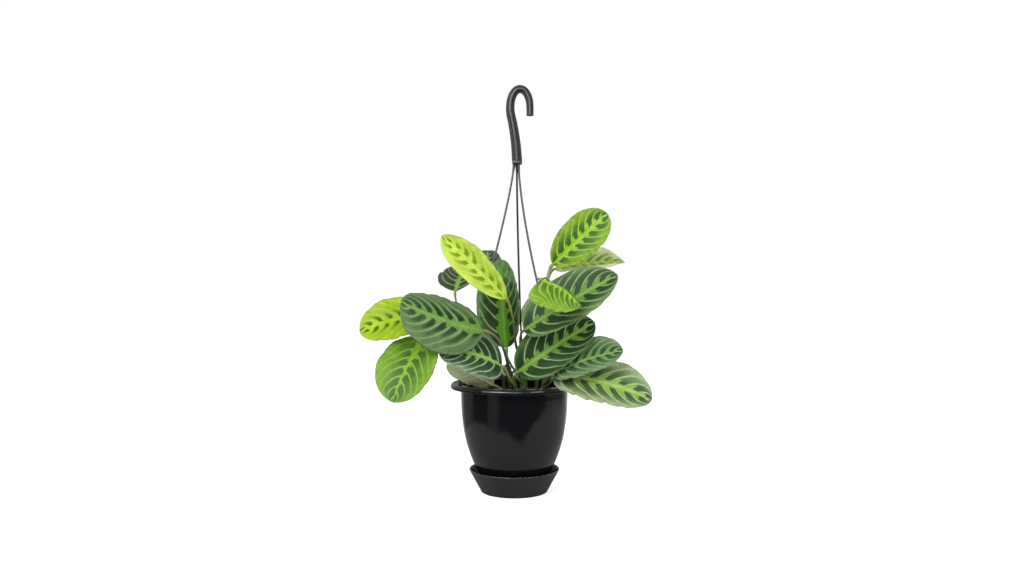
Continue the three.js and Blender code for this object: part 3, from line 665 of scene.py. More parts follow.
def sweep(bm, frames, section=None, sides=16, skin=None):
    """A capped tube through the frames, from a section's corners or from a circle, with a skin's colours."""
    layer = bm.verts.layers.float_color.get("skin") or bm.verts.layers.float_color.new("skin")
    last = len(frames) - 1
    colours = [skin_at(skin, i / last) if skin else (1, 1, 1, 1) for i in range(len(frames))]
    if section:
        ring = [bm.verts.new((x, y, 0)) for x, y in section]
        cap = bm.faces.new(ring)
    else:
        ring = bmesh.ops.create_circle(bm, cap_ends=True, radius=1, segments=sides)["verts"]
        cap = ring[0].link_faces[0]
    cap.normal_flip()
    bmesh.ops.transform(bm, matrix=frames[0], verts=ring)
    for vert in ring:
        vert[layer] = colours[0]
    edges = list(cap.edges)
    for before, after, colour in zip(frames, frames[1:], colours[1:]):
        grown = bmesh.ops.extrude_edge_only(bm, edges=edges)["geom"]
        fresh = verts_of(grown)
        bmesh.ops.transform(bm, matrix=after @ before.inverted(), verts=fresh)
        for vert in fresh:
            vert[layer] = colour
        corners = set(fresh)
        edges = [item for item in grown if isinstance(item, bmesh.types.BMEdge)]
        edges = [edge for edge in edges if corners.issuperset(edge.verts)]
    bmesh.ops.contextual_create(bm, geom=edges)


def add_box(bm, size, centre, bevel, azimuth=0):
    """A box of a size in millimetres round a centre, turned about Z, with softened edges."""
    verts = bmesh.ops.create_cube(bm, size=1)["verts"]
    shape = Matrix.Diagonal((*[side * MM for side in size], 1))
    place = Matrix.Rotation(azimuth, 4, "Z") @ Matrix.Translation(Vector(centre) * MM)
    bmesh.ops.transform(bm, matrix=place @ shape, verts=verts)
    soften(bm, list({edge for vert in verts for edge in vert.link_edges}), bevel)


def spin_profile(bm, profile, steps=TURNED_STEPS):
    """A turned body from [radius, height] points in millimetres, walked round its wall."""
    verts = [bm.verts.new((radius * MM, 0, height * MM)) for radius, height in profile]
    edges = [bm.edges.new(pair) for pair in zip(verts, verts[1:])]
    bmesh.ops.spin(
        bm, geom=verts + edges, cent=(0, 0, 0), axis=(0, 0, 1), angle=math.tau, steps=steps, use_merge=True,
    )
    bmesh.ops.remove_doubles(bm, verts=bm.verts, dist=TURNED_WELD * MM)
    bmesh.ops.recalc_face_normals(bm, faces=bm.faces)


def make_piece(name, bm, materials, nodes, smooth_angle=40):
    """Turns a bmesh into a piece of the plant that stands for the named solids."""
    for face in bm.faces:
        face.smooth = True
    sharp = math.radians(smooth_angle)
    for edge in bm.edges:
        if len(edge.link_faces) == 2:
            edge.smooth = edge.calc_face_angle(0) < sharp
    piece = mesh_object(name, bm)
    for material in materials:
        piece.data.materials.append(material)
    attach(piece, BODY)
    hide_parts(*nodes)
    return piece


def apply_modifiers(piece):
    graph = bpy.context.evaluated_depsgraph_get()
    mesh = bpy.data.meshes.new_from_object(piece.evaluated_get(graph))
    piece.modifiers.clear()
    piece.data = mesh


# Shader nodes


class Wire:
    """An output of a node. Arithmetic on it adds Math nodes."""

    def __init__(self, graph, socket):
        self.graph = graph
        self.socket = socket

    def __add__(self, other):
        return self.graph.math("ADD", self, other)

    def __sub__(self, other):
        return self.graph.math("SUBTRACT", self, other)

    def __rsub__(self, other):
        return self.graph.math("SUBTRACT", other, self)

    def __mul__(self, other):
        return self.graph.math("MULTIPLY", self, other)

    def __truediv__(self, other):
        return self.graph.math("DIVIDE", self, other)

    def __abs__(self):
        return self.graph.math("ABSOLUTE", self)

    def step(self, low, high, to_low=0.0, to_high=1.0):
        """A soft step: to_low below low, to_high above high."""
        return self.graph.map_range("SMOOTHSTEP", self, low, high, to_low, to_high)

    def ramp(self, low, high, to_low=0.0, to_high=1.0):
        """The same with a straight slope."""
        return self.graph.map_range("LINEAR", self, low, high, to_low, to_high)

    def spread(self, to_low, to_high):
        """A noise, which mostly keeps to the middle of its range, spread from to_low to to_high."""
        return self.step(*NOISE_SPAN, to_low, to_high)


class Graph:
    """Adds nodes to a node tree: what is given as a wire is linked, and what is a value is set."""

    def __init__(self, tree):
        self.tree = tree

    def add(self, kind, inputs=None, **settings):
        node = self.tree.nodes.new(kind)
        for key, value in settings.items():
            setattr(node, key, value)
        for key, value in (inputs or {}).items():
            self.feed(node.inputs[key], value)
        return node

    def feed(self, socket, value):
        if isinstance(value, Wire):
            self.tree.links.new(value.socket, socket)
        else:
            socket.default_value = value

    def wire(self, kind, inputs=None, output=0, **settings):
        """Adds a node and gives one of its outputs, the first unless another is named."""
        return Wire(self, self.add(kind, inputs, **settings).outputs[output])

    def math(self, operation, a, b=0.0):
        return self.wire("ShaderNodeMath", {0: a, 1: b}, operation=operation)

    def map_range(self, kind, value, low, high, to_low, to_high):
        given = {0: value, 1: low, 2: high, 3: to_low, 4: to_high}
        return self.wire("ShaderNodeMapRange", given, interpolation_type=kind, clamp=True)

    def mix(self, share, a, b, blend="MIX"):
        given = {0: share, 6: a, 7: b}
        return self.wire("ShaderNodeMix", given, 2, data_type="RGBA", blend_type=blend, clamp_factor=True)

    def shaded(self, colour, shade):
        """The colour made lighter or darker by a factor."""
        return self.wire("ShaderNodeVectorMath", {0: colour, 3: shade}, operation="SCALE")

    def noise(self, place, scale, detail=2.0, roughness=0.5):
        given = {"Vector": place, "Scale": scale, "Detail": detail, "Roughness": roughness}
        return self.wire("ShaderNodeTexNoise", given)

    def place(self):
        """The place on the piece, in its own metres."""
        return self.wire("ShaderNodeTexCoord", output="Object")

    def stretched(self, place, *scale):
        return self.wire("ShaderNodeMapping", {"Vector": place, "Scale": scale})

    def vector(self, x, y, z):
        return self.wire("ShaderNodeCombineXYZ", {0: x, 1: y, 2: z})

    def part(self, vector, axis):
        return self.wire("ShaderNodeSeparateXYZ", {0: vector}, axis)

    def attribute(self, name, output="Fac"):
        return self.wire("ShaderNodeAttribute", output=output, attribute_name=name)

    def ray(self, kind):
        """1 for light rays of a kind, 0 for others."""
        return self.wire("ShaderNodeLightPath", output=f"Is {kind} Ray")


def rgba(colour):
    return (*colour, 1.0)


def socket_kind(is_colour):
    return "NodeSocketColor" if is_colour else "NodeSocketFloat"


def start_group(name, inputs):
    """Starts a shader node group with named inputs, a colour for a tuple and else a number."""
    tree = bpy.data.node_groups.new(name, "ShaderNodeTree")
    for key, value in inputs.items():
        is_colour = isinstance(value, tuple)
        socket = tree.interface.new_socket(key, in_out="INPUT", socket_type=socket_kind(is_colour))
        socket.default_value = rgba(value) if is_colour else value
    graph = Graph(tree)
    node = graph.add("NodeGroupInput")
    return graph, {key: Wire(graph, node.outputs[key]) for key in inputs}


def finish_group(graph, colour, roughness, height):
    """Gives the group the three outputs that every finish here has."""
    given = {"Colour": colour, "Roughness": roughness, "Height": height}
    for key in given:
        graph.tree.interface.new_socket(key, in_out="OUTPUT", socket_type=socket_kind(key == "Colour"))
    graph.add("NodeGroupOutput", given)
    return graph.tree


def shared_group(name, maker):
    return bpy.data.node_groups.get(name) or maker()


def make_material(name, group, values, bump, specular):
    """A material whose colour, roughness and height come from a group with its own values."""
    material = bpy.data.materials.new(name)
    material.use_nodes = True
    graph = Graph(material.node_tree)
    given = {key: rgba(value) if isinstance(value, tuple) else value for key, value in values.items()}
    node = graph.add("ShaderNodeGroup", given, node_tree=group)
    outputs = {key: Wire(graph, socket) for key, socket in node.outputs.items()}
    relief = graph.wire("ShaderNodeBump", {"Height": outputs["Height"], "Distance": bump})
    shader = material.node_tree.nodes["Principled BSDF"]
    graph.feed(shader.inputs["Base Color"], outputs["Colour"])
    graph.feed(shader.inputs["Roughness"], outputs["Roughness"])
    graph.feed(shader.inputs["Normal"], relief)
    graph.feed(shader.inputs["Specular IOR Level"], specular)
    material.diffuse_color = next(value for value in given.values() if isinstance(value, tuple))
    return material


def plastic_group():
    """Moulded plastic: faint clouds, fine grain, dust on what faces up, and a mark that paints shade,
    darker and duller, in grooves, and highlights, lighter and smoother, on edges.
    """
    graph, entry = start_group("moulded_plastic", {
        "Plastic": (0.02, 0.02, 0.02), "Dust Colour": (0.3, 0.3, 0.3), "Dust And Highlight": 0.05, "Dullness": 0.2,
        "Grain": 0.2,
    })
    place = graph.place()
    painted_light = graph.attribute("painted_light")
    cloud = graph.noise(place, 24.0, 3.0)
    grain = graph.noise(place, 2600.0, 1.0)
    speckle = graph.noise(place, 420.0).step(0.35, 0.75)
    normal = graph.wire("ShaderNodeNewGeometry", output="Normal")
    # Pale dust specks on upward faces; on the saucer the amount is high, so they also paint a highlight
    # along its rim.
    dust_and_highlight = graph.part(normal, "Z").step(0.25, 1.0) * speckle * entry["Dust And Highlight"]
    toned = graph.shaded(entry["Plastic"], cloud.spread(0.88, 1.12))
    # The painted-light mark: above nought it darkens as painted shade, below nought it lightens as a painted
    # highlight.
    toned = graph.shaded(toned, 1.0 - painted_light * 0.85)
    colour = graph.mix(dust_and_highlight, toned, entry["Dust Colour"])
    roughness = (cloud - 0.5) * 0.12 + entry["Dullness"] + painted_light * 0.4 + dust_and_highlight * 1.5
    return finish_group(graph, colour, roughness, grain * entry["Grain"])


def make_plastic(name, colour, dust_colour, dust_and_highlight, dullness, grain, bump, specular):
    values = {
        "Plastic": tuple(colour), "Dust Colour": tone(*dust_colour), "Dust And Highlight": dust_and_highlight, "Dullness": dullness,
        "Grain": grain,
    }
    return make_material(name, shared_group("moulded_plastic", plastic_group), values, bump, specular)


def soil_group():
    """Damp potting mix: dark crumbs, pale fibres and a rough, open surface."""
    graph, entry = start_group("potting_mix", {"Soil": (0.03, 0.02, 0.012), "Fibre": (0.16, 0.1, 0.05)})
    place = graph.place()
    crumbs = graph.noise(place, 260.0, 5.0, 0.65)
    clumps = graph.noise(place, 60.0, 3.0)
    fibres = graph.noise(graph.stretched(place, 260.0, 1500.0, 700.0), 1.0).step(0.66, 0.74)
    dark = graph.shaded(entry["Soil"], crumbs.step(0.3, 0.72, 0.35, 1.5))
    colour = graph.mix(fibres * 0.6, dark, entry["Fibre"])
    return finish_group(graph, colour, clumps.spread(0.72, 0.98), crumbs)


def stalk_group():
    """Stalk skin: its own colour at each place along it, with soft patches and fine lengthwise streaks."""
    graph, entry = start_group("stalk_skin", {"Tint": (1.0, 1.0, 1.0)})
    place = graph.place()
    patches = graph.noise(place, 70.0, 3.0)
    streaks = graph.noise(graph.stretched(place, 1400.0, 1400.0, 90.0), 1.0)
    skin = graph.mix(1.0, graph.attribute("skin", "Color"), entry["Tint"], "MULTIPLY")
    skin = graph.shaded(skin, patches.spread(0.84, 1.14))
    skin = graph.shaded(skin, streaks.spread(0.84, 1.14))
    return finish_group(graph, skin, patches.spread(0.4, 0.56), streaks)


def blade_place(graph):
    """A place on the blade: its share of the length, its side from -1 to 1 and its reach from the midrib."""
    flat = graph.wire("ShaderNodeUVMap", uv_map="blade")
    side = graph.part(flat, "Y") * 2.0 - 1.0
    return graph.part(flat, "X"), side, abs(side)


def lateral_phase(graph, entry, run, side, reach):
    """Counts laterals at a place on the blade: whole numbers lie on a lateral."""
    rise = reach * (reach * LATERAL_RISE[1] + LATERAL_RISE[0]) * entry["Rise"]
    fan = graph.math("MINIMUM", run / LATERAL_FAN, 1.0)
    stagger = graph.math("GREATER_THAN", side, 0.0) * 0.5
    return (run - rise * fan) * entry["Laterals"] + stagger


def nearness(graph, phase):
    """0 on a lateral, 1 midway between two."""
    return graph.math("PINGPONG", phase, 0.5) * 2.0


def cell_lot(graph, count, side, seed):
    """A random share that belongs to one space between laterals, on one side of one leaf."""
    own = graph.vector(graph.math("FLOOR", count), graph.math("SIGN", side), seed)
    return graph.wire("ShaderNodeTexWhiteNoise", {"Vector": own}, noise_dimensions="3D")


def leaf_group():
    """A blade's upper face: field, blotches between the laterals, the feathered band and the midrib."""
    graph, entry = start_group("leaf_upper_face", {
        "Field": (0.1, 0.2, 0.05), "Margin": (0.1, 0.2, 0.05), "Blotch": (0.02, 0.05, 0.02),
        "Lateral": (0.35, 0.5, 0.2), "Band": (0.2, 0.4, 0.05), "Edge": (0.1, 0.1, 0.06),
        **PATTERN, "Seed": 0.0,
    })
    seed = entry["Seed"]
    run, side, reach = blade_place(graph)
    phase = lateral_phase(graph, entry, run, side, reach)
    near = nearness(graph, phase)
    even = graph.vector(run * 4.0, side, seed)
    wander = graph.noise(even, 2.6, 3.0) - 0.5
    teeth = graph.noise(even, 10.0) - 0.5

    # The field turns to the margin's colour, and pales a little beside each lateral.
    colour = graph.mix((wander * 0.5 + reach).step(0.45, 1.0), entry["Field"], entry["Margin"])
    colour = graph.mix(near.step(0.1, 0.5, 0.16, 0.0), colour, entry["Lateral"])

    # Blotches fill the space between laterals next to the band, more pointed the further out.
    own_reach = entry["Reach"] * (cell_lot(graph, phase, side, seed) * 0.5 + 0.74)
    outward = (wander * 0.36 + reach) / own_reach
    pinch = outward * entry["Taper"] + 0.1
    between = (teeth * 0.3 + near - pinch).step(0.0, 0.2)
    inside = outward.step(1.0 - entry["Softness"], entry["Softness"] * 0.4 + 1.05, 1.0, 0.0)
    deep = graph.mix(outward.step(0.3, 1.1, 0.0, 0.5), entry["Blotch"], entry["Field"])
    colour = graph.mix(between * inside * entry["Strength"], colour, deep)
    paling = (run + wander).step(0.5, 1.0) * entry["Pale Tip"]
    colour = graph.mix(paling, colour, entry["Margin"])

    # Laterals are thin pale lines, a little thicker at the band, that fade before the margin.
    line = (reach * 0.03 + near).step(0.03, 0.1, 1.0, 0.0)
    colour = graph.mix(line * reach.step(0.72, 0.98, 0.95, 0.12), colour, entry["Lateral"])

    # The band along the midrib has a pointed, notched lobe on the tip side of each lateral.
    shifted = phase + 0.07
    cell = graph.math("FRACT", shifted)
    lobe = cell.step(0.0, 0.12) * cell.step(0.36, 0.6, 1.0, 0.0)
    away = abs(run - entry["Lobe Place"])
    grown = away.step(0.1, 0.62, 1.0, 0.25) * entry["Lobes"]
    grown = grown * (cell_lot(graph, shifted, side, seed) * 0.7 + 0.5)
    spread = run.step(0.0, 0.5, 1.0, 0.0) * entry["Base Spread"]
    width = (entry["Band Width"] + spread + lobe * grown) * run.step(0.82, 1.0, 1.0, 0.35)
    notches = graph.math("PINGPONG", cell * 4.0, 0.5) * lobe
    width = width + notches * grown * 0.5 + teeth * 0.15
    band = (reach - width).step(-0.02, 0.02, 1.0, 0.0) * width.step(0.0, 0.03)
    inner = graph.mix(reach.step(0.0, 0.12, 0.14, 0.0), entry["Band"], entry["Lateral"])
    inner = graph.mix(reach.step(0.1, 0.4, 0.0, 0.25), inner, entry["Field"])
    colour = graph.mix(band, colour, inner)

    # The midrib's own pale line, and the thin edge.
    colour = graph.mix(reach.step(0.01, 0.035, 0.22, 0.0), colour, entry["Lateral"])
    colour = graph.mix(reach.step(0.955, 0.985, 0.0, 0.7), colour, entry["Edge"])

    # Streaks that follow the laterals, specks, and slow changes of light and dark.
    streaks = graph.noise(graph.vector(phase * 5.0, reach * 1.6, seed), 1.6, 3.0, 0.6)
    specks = graph.noise(even, 60.0)
    shade = (streaks - 0.5) * 0.5 + (specks - 0.5) * 0.2 + wander * 0.4 + 1.0
    height = streaks * 0.5 + specks * 0.25 - line * 0.4
    return finish_group(graph, graph.shaded(colour, shade), wander * 0.22 + 0.45, height)


def underside_group():
    """A blade's lower face: pale, with raised laterals and a paler midrib."""
    graph, entry = start_group("leaf_lower_face", {
        "Under": (0.25, 0.32, 0.16), "Rib": (0.4, 0.5, 0.25), "Edge": (0.1, 0.1, 0.06),
        "Laterals": 8.0, "Rise": 1.0,
    })
    run, side, reach = blade_place(graph)
    near = nearness(graph, lateral_phase(graph, entry, run, side, reach))
    patch = graph.noise(graph.place(), 40.0, 3.0)
    between = near.step(0.15, 0.5) * reach.step(0.25, 0.9, 1.0, 0.0)
    colour = graph.shaded(entry["Under"], patch.spread(0.88, 1.1))
    colour = graph.shaded(colour, 1.0 - between * 0.2)
    line = near.step(0.04, 0.2, 1.0, 0.0)
    colour = graph.mix(line * 0.4, colour, entry["Rib"])
    colour = graph.mix(reach.step(0.03, 0.07, 0.9, 0.0), colour, entry["Rib"])
    colour = graph.mix(reach.step(0.93, 0.99, 0.0, 0.7), colour, entry["Edge"])
    return finish_group(graph, colour, patch.spread(0.5, 0.62), line)


# Pot, saucer and soil


def pot_profile():
    """The pot's wall as [radius, height] points: up the outside, over the lip and down the inside."""
    rounded = [[point.x, point.y] for point in smooth_line([(*p, 0) for p in POT_BODY[1:]], 40)]
    outside = [POT_BODY[0], *arc(POT_FOOT_CENTRE, POT_FOOT_ROUND, -90, -25, 4), *rounded[1:]]
    edge = [LIP_RADIUS - LIP_EDGE_ROUND, LIP_TOP - LIP_EDGE_ROUND]
    neck = [POT_BODY[-1][0] + NECK_ROUND, LIP_TOP - POT_WALL - NECK_ROUND]
    lip = [
        *arc(neck, NECK_ROUND, 180, 90, 6),
        *arc(edge, LIP_EDGE_ROUND - POT_WALL, 90, 0, 5),
        *arc([LIP_RADIUS - POT_WALL / 2, LIP_TOP - LIP_DROP + POT_WALL / 2], POT_WALL / 2, 180, 360, 8),
        *arc(edge, LIP_EDGE_ROUND, 0, 90, 8),
        *arc(neck, NECK_ROUND + POT_WALL, 90, 180, 8),
    ]
    inside = moved_line(rounded[1:], POT_WALL)[::-1]
    inner_floor = POT_BODY[0][1] + POT_WALL
    inside += [[POT_BODY[0][0] - 1, inner_floor], [0, inner_floor]]
    return [[0, POT_BODY[0][1]], *outside, *lip, *inside]


def make_pot_mesh(settings):
    bm = bmesh.new()
    spin_profile(bm, pot_profile())
    scale = settings.lip_radius / (LIP_RADIUS * MM)
    bmesh.ops.scale(bm, vec=(scale, scale, 1), verts=bm.verts)
    return bm


def cut_pot(pot):
    """Drain holes through the floor and a slot in the lip for each rod."""
    bm = bmesh.new()
    for i in range(DRAIN_HOLES):
        place = Matrix.Rotation(math.tau * i / DRAIN_HOLES, 4, "Z")
        place = place @ Matrix.Translation((DRAIN_CIRCLE * MM, 0, POT_BODY[0][1] * MM))
        bmesh.ops.create_cone(
            bm, cap_ends=True, segments=32, radius1=DRAIN_RADIUS * MM, radius2=DRAIN_RADIUS * MM,
            depth=CUT_DEPTH * MM, matrix=place,
        )
    for azimuth in ROD_AZIMUTHS:
        size = [*SLOT_SIZE, CUT_DEPTH]
        add_box(bm, size, [SLOT_CIRCLE, 0, LIP_TOP], SLOT_ROUND, math.radians(azimuth))
    bmesh.ops.recalc_face_normals(bm, faces=bm.faces)
    tool = mesh_object("pot_cutter", bm)
    change = pot.modifiers.new("holes", "BOOLEAN")
    change.operation = "DIFFERENCE"
    change.solver = "EXACT"
    change.object = tool
    apply_modifiers(pot)
    bpy.data.objects.remove(tool)


def make_saucer_mesh():
    foot = SAUCER_FOOT_RADIUS
    inner = foot - SAUCER_WALL - SAUCER_WALL_LEAN
    half_wall = SAUCER_WALL / 2
    profile = [
        [0, 0],
        *arc([foot - SAUCER_FOOT_INSET, SAUCER_FOOT_ROUND], SAUCER_FOOT_ROUND, -90, -25, 4),
        *arc([foot - SAUCER_STEP_ROUND, SAUCER_FOOT_TOP], SAUCER_STEP_ROUND, -60, -20, 2),
        *arc([SAUCER_RIM_RADIUS - half_wall, SAUCER_HEIGHT - half_wall], half_wall, -28, 152, 8),
        [inner, SAUCER_FLOOR + SAUCER_COVE],
        *arc([inner - SAUCER_COVE, SAUCER_FLOOR + SAUCER_COVE], SAUCER_COVE, -20, -90, 3),
        [0, SAUCER_FLOOR],
    ]
    bm = bmesh.new()
    spin_profile(bm, profile)
    highlight_saucer_edges(bm)
    for i in range(SAUCER_RIBS):
        add_rib(bm, math.tau * i / SAUCER_RIBS, inner)
    return bm


def highlight_saucer_edges(bm):
    """Marks the rim and the foot's edge below nought, for the finish to make smoother and lighter: a painted
    highlight.
    """
    low, high = SAUCER_FOOT_HIGHLIGHT_BAND, SAUCER_HEIGHT - SAUCER_RIM_HIGHLIGHT_BAND
    for height in (low, high):
        everything = [*bm.verts, *bm.edges, *bm.faces]
        bmesh.ops.bisect_plane(bm, geom=everything, plane_co=(0, 0, height * MM), plane_no=(0, 0, 1))
    painted_light = bm.verts.layers.float.new("painted_light")
    margin = 0.1
    for vert in bm.verts:
        height = vert.co.z / MM
        if height > high + margin or margin < height < low - margin:
            # Painted highlight on the rim and the foot's edge.
            vert[painted_light] = SAUCER_POLISH_AND_HIGHLIGHT


def add_rib(bm, azimuth, inner):
    """A thin plate that stiffens the saucer's wall from inside."""
    low, high = SAUCER_FLOOR - SAUCER_RIB_SUNK, SAUCER_HEIGHT - SAUCER_RIB_DROP
    foot = [[inner + distance, low] for distance in SAUCER_RIB_FOOT]
    head = [[SAUCER_RIM_RADIUS + distance, high] for distance in SAUCER_RIB_HEAD]
    corners = [foot[0], *head, foot[1]]
    half = SAUCER_RIB_THICKNESS / 2
    face = bm.faces.new([bm.verts.new((x * MM, -half * MM, z * MM)) for x, z in corners])
    verts = verts_of(bmesh.ops.extrude_face_region(bm, geom=[face])["geom"])
    bmesh.ops.translate(bm, vec=(0, SAUCER_RIB_THICKNESS * MM, 0), verts=verts)
    everything = list({vert for item in verts for edge in item.link_edges for vert in edge.verts})
    bmesh.ops.rotate(bm, cent=(0, 0, 0), matrix=Matrix.Rotation(azimuth, 3, "Z"), verts=everything)
    faces = list({f for vert in everything for f in vert.link_faces})
    bmesh.ops.recalc_face_normals(bm, faces=faces)


def soil_height(radius):
    """The soil's crown at a distance from the pot's axis, in millimetres."""
    share = min(radius / SOIL_RADIUS, 1)
    return SOIL_TOP - SOIL_EDGE_DROP + SOIL_CROWN * (1 - share ** SOIL_CROWN_FULLNESS)


def make_soil_mesh(settings):
    wall = moved_line(POT_BODY[1:], POT_WALL + SOIL_GAP)
    wall = [point for point in wall if SOIL_BOTTOM + 1 < point[1] < SOIL_TOP - 1]
    radii = [SOIL_RADIUS * (1 - i / SOIL_CROWN_STEPS) for i in range(SOIL_CROWN_STEPS + 1)]
    crown = [[radius, soil_height(radius)] for radius in radii]
    bm = bmesh.new()
    spin_profile(bm, [[0, SOIL_BOTTOM], [POT_BODY[0][0] - 2, SOIL_BOTTOM], *wall, *crown], SOIL_STEPS)
    for vert in bm.verts:
        if vert.co.z > (SOIL_TOP - 1) * MM:
            rough = noise.fractal(vert.co * SOIL_ROUGHNESS_SCALE, 1.0, 2.1, 3) * SOIL_ROUGHNESS
            lumps = noise.noise(vert.co * SOIL_LUMPS_SCALE) * SOIL_LUMPS
            vert.co.z += (rough + lumps) * MM
    draw = random.Random(7)
    for _ in range(settings.crumbs):
        add_crumb(bm, settings, draw)
    return bm


def add_crumb(bm, settings, draw):
    """A loose crumb somewhere on the soil."""
    radius = SOIL_RADIUS * math.sqrt(draw.random()) * CRUMB_REACH
    angle = draw.uniform(0, math.tau)
    size = settings.crumb_size * draw.choice(CRUMB_SIZES) * draw.uniform(*CRUMB_GROWTH)
    place = Vector((radius * math.cos(angle), radius * math.sin(angle), soil_height(radius))) * MM
    turn = Matrix.Rotation(draw.uniform(0, math.tau), 4, "Z")
    turn = turn @ Matrix.Rotation(draw.uniform(*CRUMB_TILT), 4, "X")
    shape = Matrix.Diagonal((*[draw.uniform(*ends) for ends in CRUMB_SHAPE], 1))
    verts = bmesh.ops.create_icosphere(bm, subdivisions=1, radius=size / 2)["verts"]
    for vert in verts:
        vert.co *= draw.uniform(*CRUMB_DENTS)
    bmesh.ops.transform(bm, matrix=Matrix.Translation(place) @ turn @ shape, verts=verts)


# Hanger


def hook_line():
    cx, cz = HOOK_BEND_CENTRE
    rx, rz = HOOK_BEND_RADII
    flat = [SHANK_FOOT, *SHANK_POINTS]
    for i in range(HOOK_BEND_POINTS + 1):
        angle = math.pi * (1 - i / HOOK_BEND_POINTS)
        flat.append([cx + rx * math.cos(angle), cz + rz * math.sin(angle)])
    flat.append([cx + rx, HOOK_FREE_END])
    return [Vector((x, 0, z)) * MM for x, z in flat]


def paint_groove_shade(bm, frames, depth, height):
    """Marks the web, and more so its corners with the rib, for the finish to darken: painted shade in the
    grooves.
    """
    painted_light = bm.verts.layers.float.new("painted_light")
    places = [(frame.to_translation(), frame.inverted()) for frame in frames]
    for vert in bm.verts:
        inverse = min(places, key=lambda place: (place[0] - vert.co).length_squared)[1]
        local = inverse @ vert.co
        if abs(local.x) <= depth:
            vert[painted_light] = 1 if abs(local.y) < height else HOOK_WEB_SHADE


def make_hook_mesh():
    """A bar with a cross-shaped section, its web in the hook's plane, on a collar."""
    line = smooth_line(hook_line(), HOOK_STEPS)
    shares = [i / HOOK_STEPS for i in range(HOOK_STEPS + 1)]
    girths = [(MM, lerp(*HOOK_WIDTHS, share) / 2 * MM) for share in shares]
    web, rib, depth = HOOK_WEB / 2, HOOK_RIB / 2, HOOK_DEPTH / 2
    inner = rib / (sum(HOOK_WIDTHS) / 4)
    section = [
        (web, 1), (-web, 1), (-web, inner), (-depth, inner), (-depth, -inner), (-web, -inner),
        (-web, -1), (web, -1), (web, -inner), (depth, -inner), (depth, inner), (web, inner),
    ]
    bm = bmesh.new()
    frames = frames_along(line, girths, Vector((0, 1, 0)))
    sweep(bm, frames, section=section)
    # Painted shade in the web, full at its corners with the rib.
    paint_groove_shade(bm, frames, web + HOOK_WEB_MARGIN, inner + HOOK_CORNER_MARGIN)
    bmesh.ops.recalc_face_normals(bm, faces=bm.faces)
    turns = {edge: edge.calc_face_angle(0) for edge in bm.edges if len(edge.link_faces) == 2}
    sharp = math.radians(HOOK_SHARP_ANGLE)
    soften(bm, [edge for edge, turn in turns.items() if turn > sharp], HOOK_EDGE_ROUND)
    add_box(bm, COLLAR_SIZE, [SHANK_FOOT[0], 0, SHANK_FOOT[1]], COLLAR_ROUND)
    return bm


def make_rod_mesh(number, settings):
    """A thin rod that splays out from the collar to its tab, which a toggle holds under the pot's lip."""
    azimuth = math.radians(ROD_AZIMUTHS[number - 1])
    outward = Vector((math.cos(azimuth), math.sin(azimuth), 0))
    top = Vector((ROD_HUB, 0, SHANK_FOOT[1] - COLLAR_SIZE[2] / 2 + ROD_TOP_SUNK)) + outward * ROD_SPREAD
    bottom = outward * SLOT_CIRCLE + Vector((0, 0, ROD_TAB_TOP - ROD_END_SUNK))
    length = (top - bottom).length
    line = []
    girths = []
    for i in range(ROD_STEPS + 1):
        share = i / ROD_STEPS
        point = top.lerp(bottom, share ** ROD_SPLAYS[number - 1])
        point.z = lerp(top.z, bottom.z, share)
        line.append(point * MM)
        root = max(0, 1 - share * length / ROD_ROOT_LENGTH)
        girth = lerp(settings.rod_radius, ROD_ROOT_RADIUS * MM, root ** ROD_ROOT_FLARE)
        girths.append((girth, girth))
    bm = bmesh.new()
    sweep(bm, frames_along(line, girths))
    tab_height = ROD_TAB_TOP - LIP_TOP + POT_WALL + ROD_TOGGLE[2] + ROD_TAB_LEAD
    tab = [SLOT_SIZE[0] - SLOT_PLAY, SLOT_SIZE[1] - SLOT_PLAY, tab_height]
    add_box(bm, tab, [SLOT_CIRCLE, 0, ROD_TAB_TOP - tab_height / 2], SLOT_ROUND, azimuth)
    low = ROD_TAB_TOP - tab_height + ROD_TOGGLE[2] / 2
    add_box(bm, ROD_TOGGLE, [SLOT_CIRCLE, 0, low], SLOT_ROUND, azimuth)
    bmesh.ops.recalc_face_normals(bm, faces=bm.faces)
    return bm


# Leaves and stalks


def outline(blade, u):
    """Half the blade's width at a share of its length, as a share of its widest half."""
    widest = blade.get("widest", BLADE_WIDEST)
    if u < widest:
        narrowing = ((widest - u) / widest) ** BASE_FULLNESS
        return max(0, 1 - narrowing) ** blade.get("heel", END_SLIMNESS)
    narrowing = ((u - widest) / (1 - widest)) ** TIP_FULLNESS
    return max(0, 1 - narrowing) ** blade.get("point", END_SLIMNESS)


def blade_point(blade, u, v):
    """A point of the blade in millimetres: u runs from base to tip, v from margin to margin."""
    base = Vector(blade["base"])
    along = Vector(blade["tip"]) - base
    length = along.length
    along.normalize()
    face = Vector(blade["face"])
    face = (face - along * face.dot(along)).normalized()
    side = along.cross(face)
    half = blade["width"] / 2 * outline(blade, u)
    first, further = (math.radians(angle) for angle in blade["halves"][0 if v < 0 else 1])
    reach = abs(v)
    turn = first + further * reach
    across = (math.sin(turn) - math.sin(first)) / further
    lift = (math.cos(first) - math.cos(turn)) / further
    wave = BLADE_WAVE * reach * reach
    wave *= math.sin(math.tau * (BLADE_WAVES * u + WAVE_STARTS[0 if v < 0 else 1])) * math.sin(math.pi * u)
    swell = 4 * u * (1 - u)
    point = base + along * length * u
    point += side * (math.copysign(half * across, v) + blade.get("bend", 0) * swell)
    return point + face * (half * lift + blade["bow"] * swell + wave)


def lateral_nearness(pattern, u, v):
    """0 on a lateral, 1 midway between two, counted as lateral_phase counts them."""
    reach = abs(v)
    rise = reach * (LATERAL_RISE[0] + LATERAL_RISE[1] * reach) * pattern["Rise"]
    phase = pattern["Laterals"] * (u - rise * min(u / LATERAL_FAN, 1)) + (0.5 if v > 0 else 0)
    return 2 * abs((phase + 0.5) % 1 - 0.5)


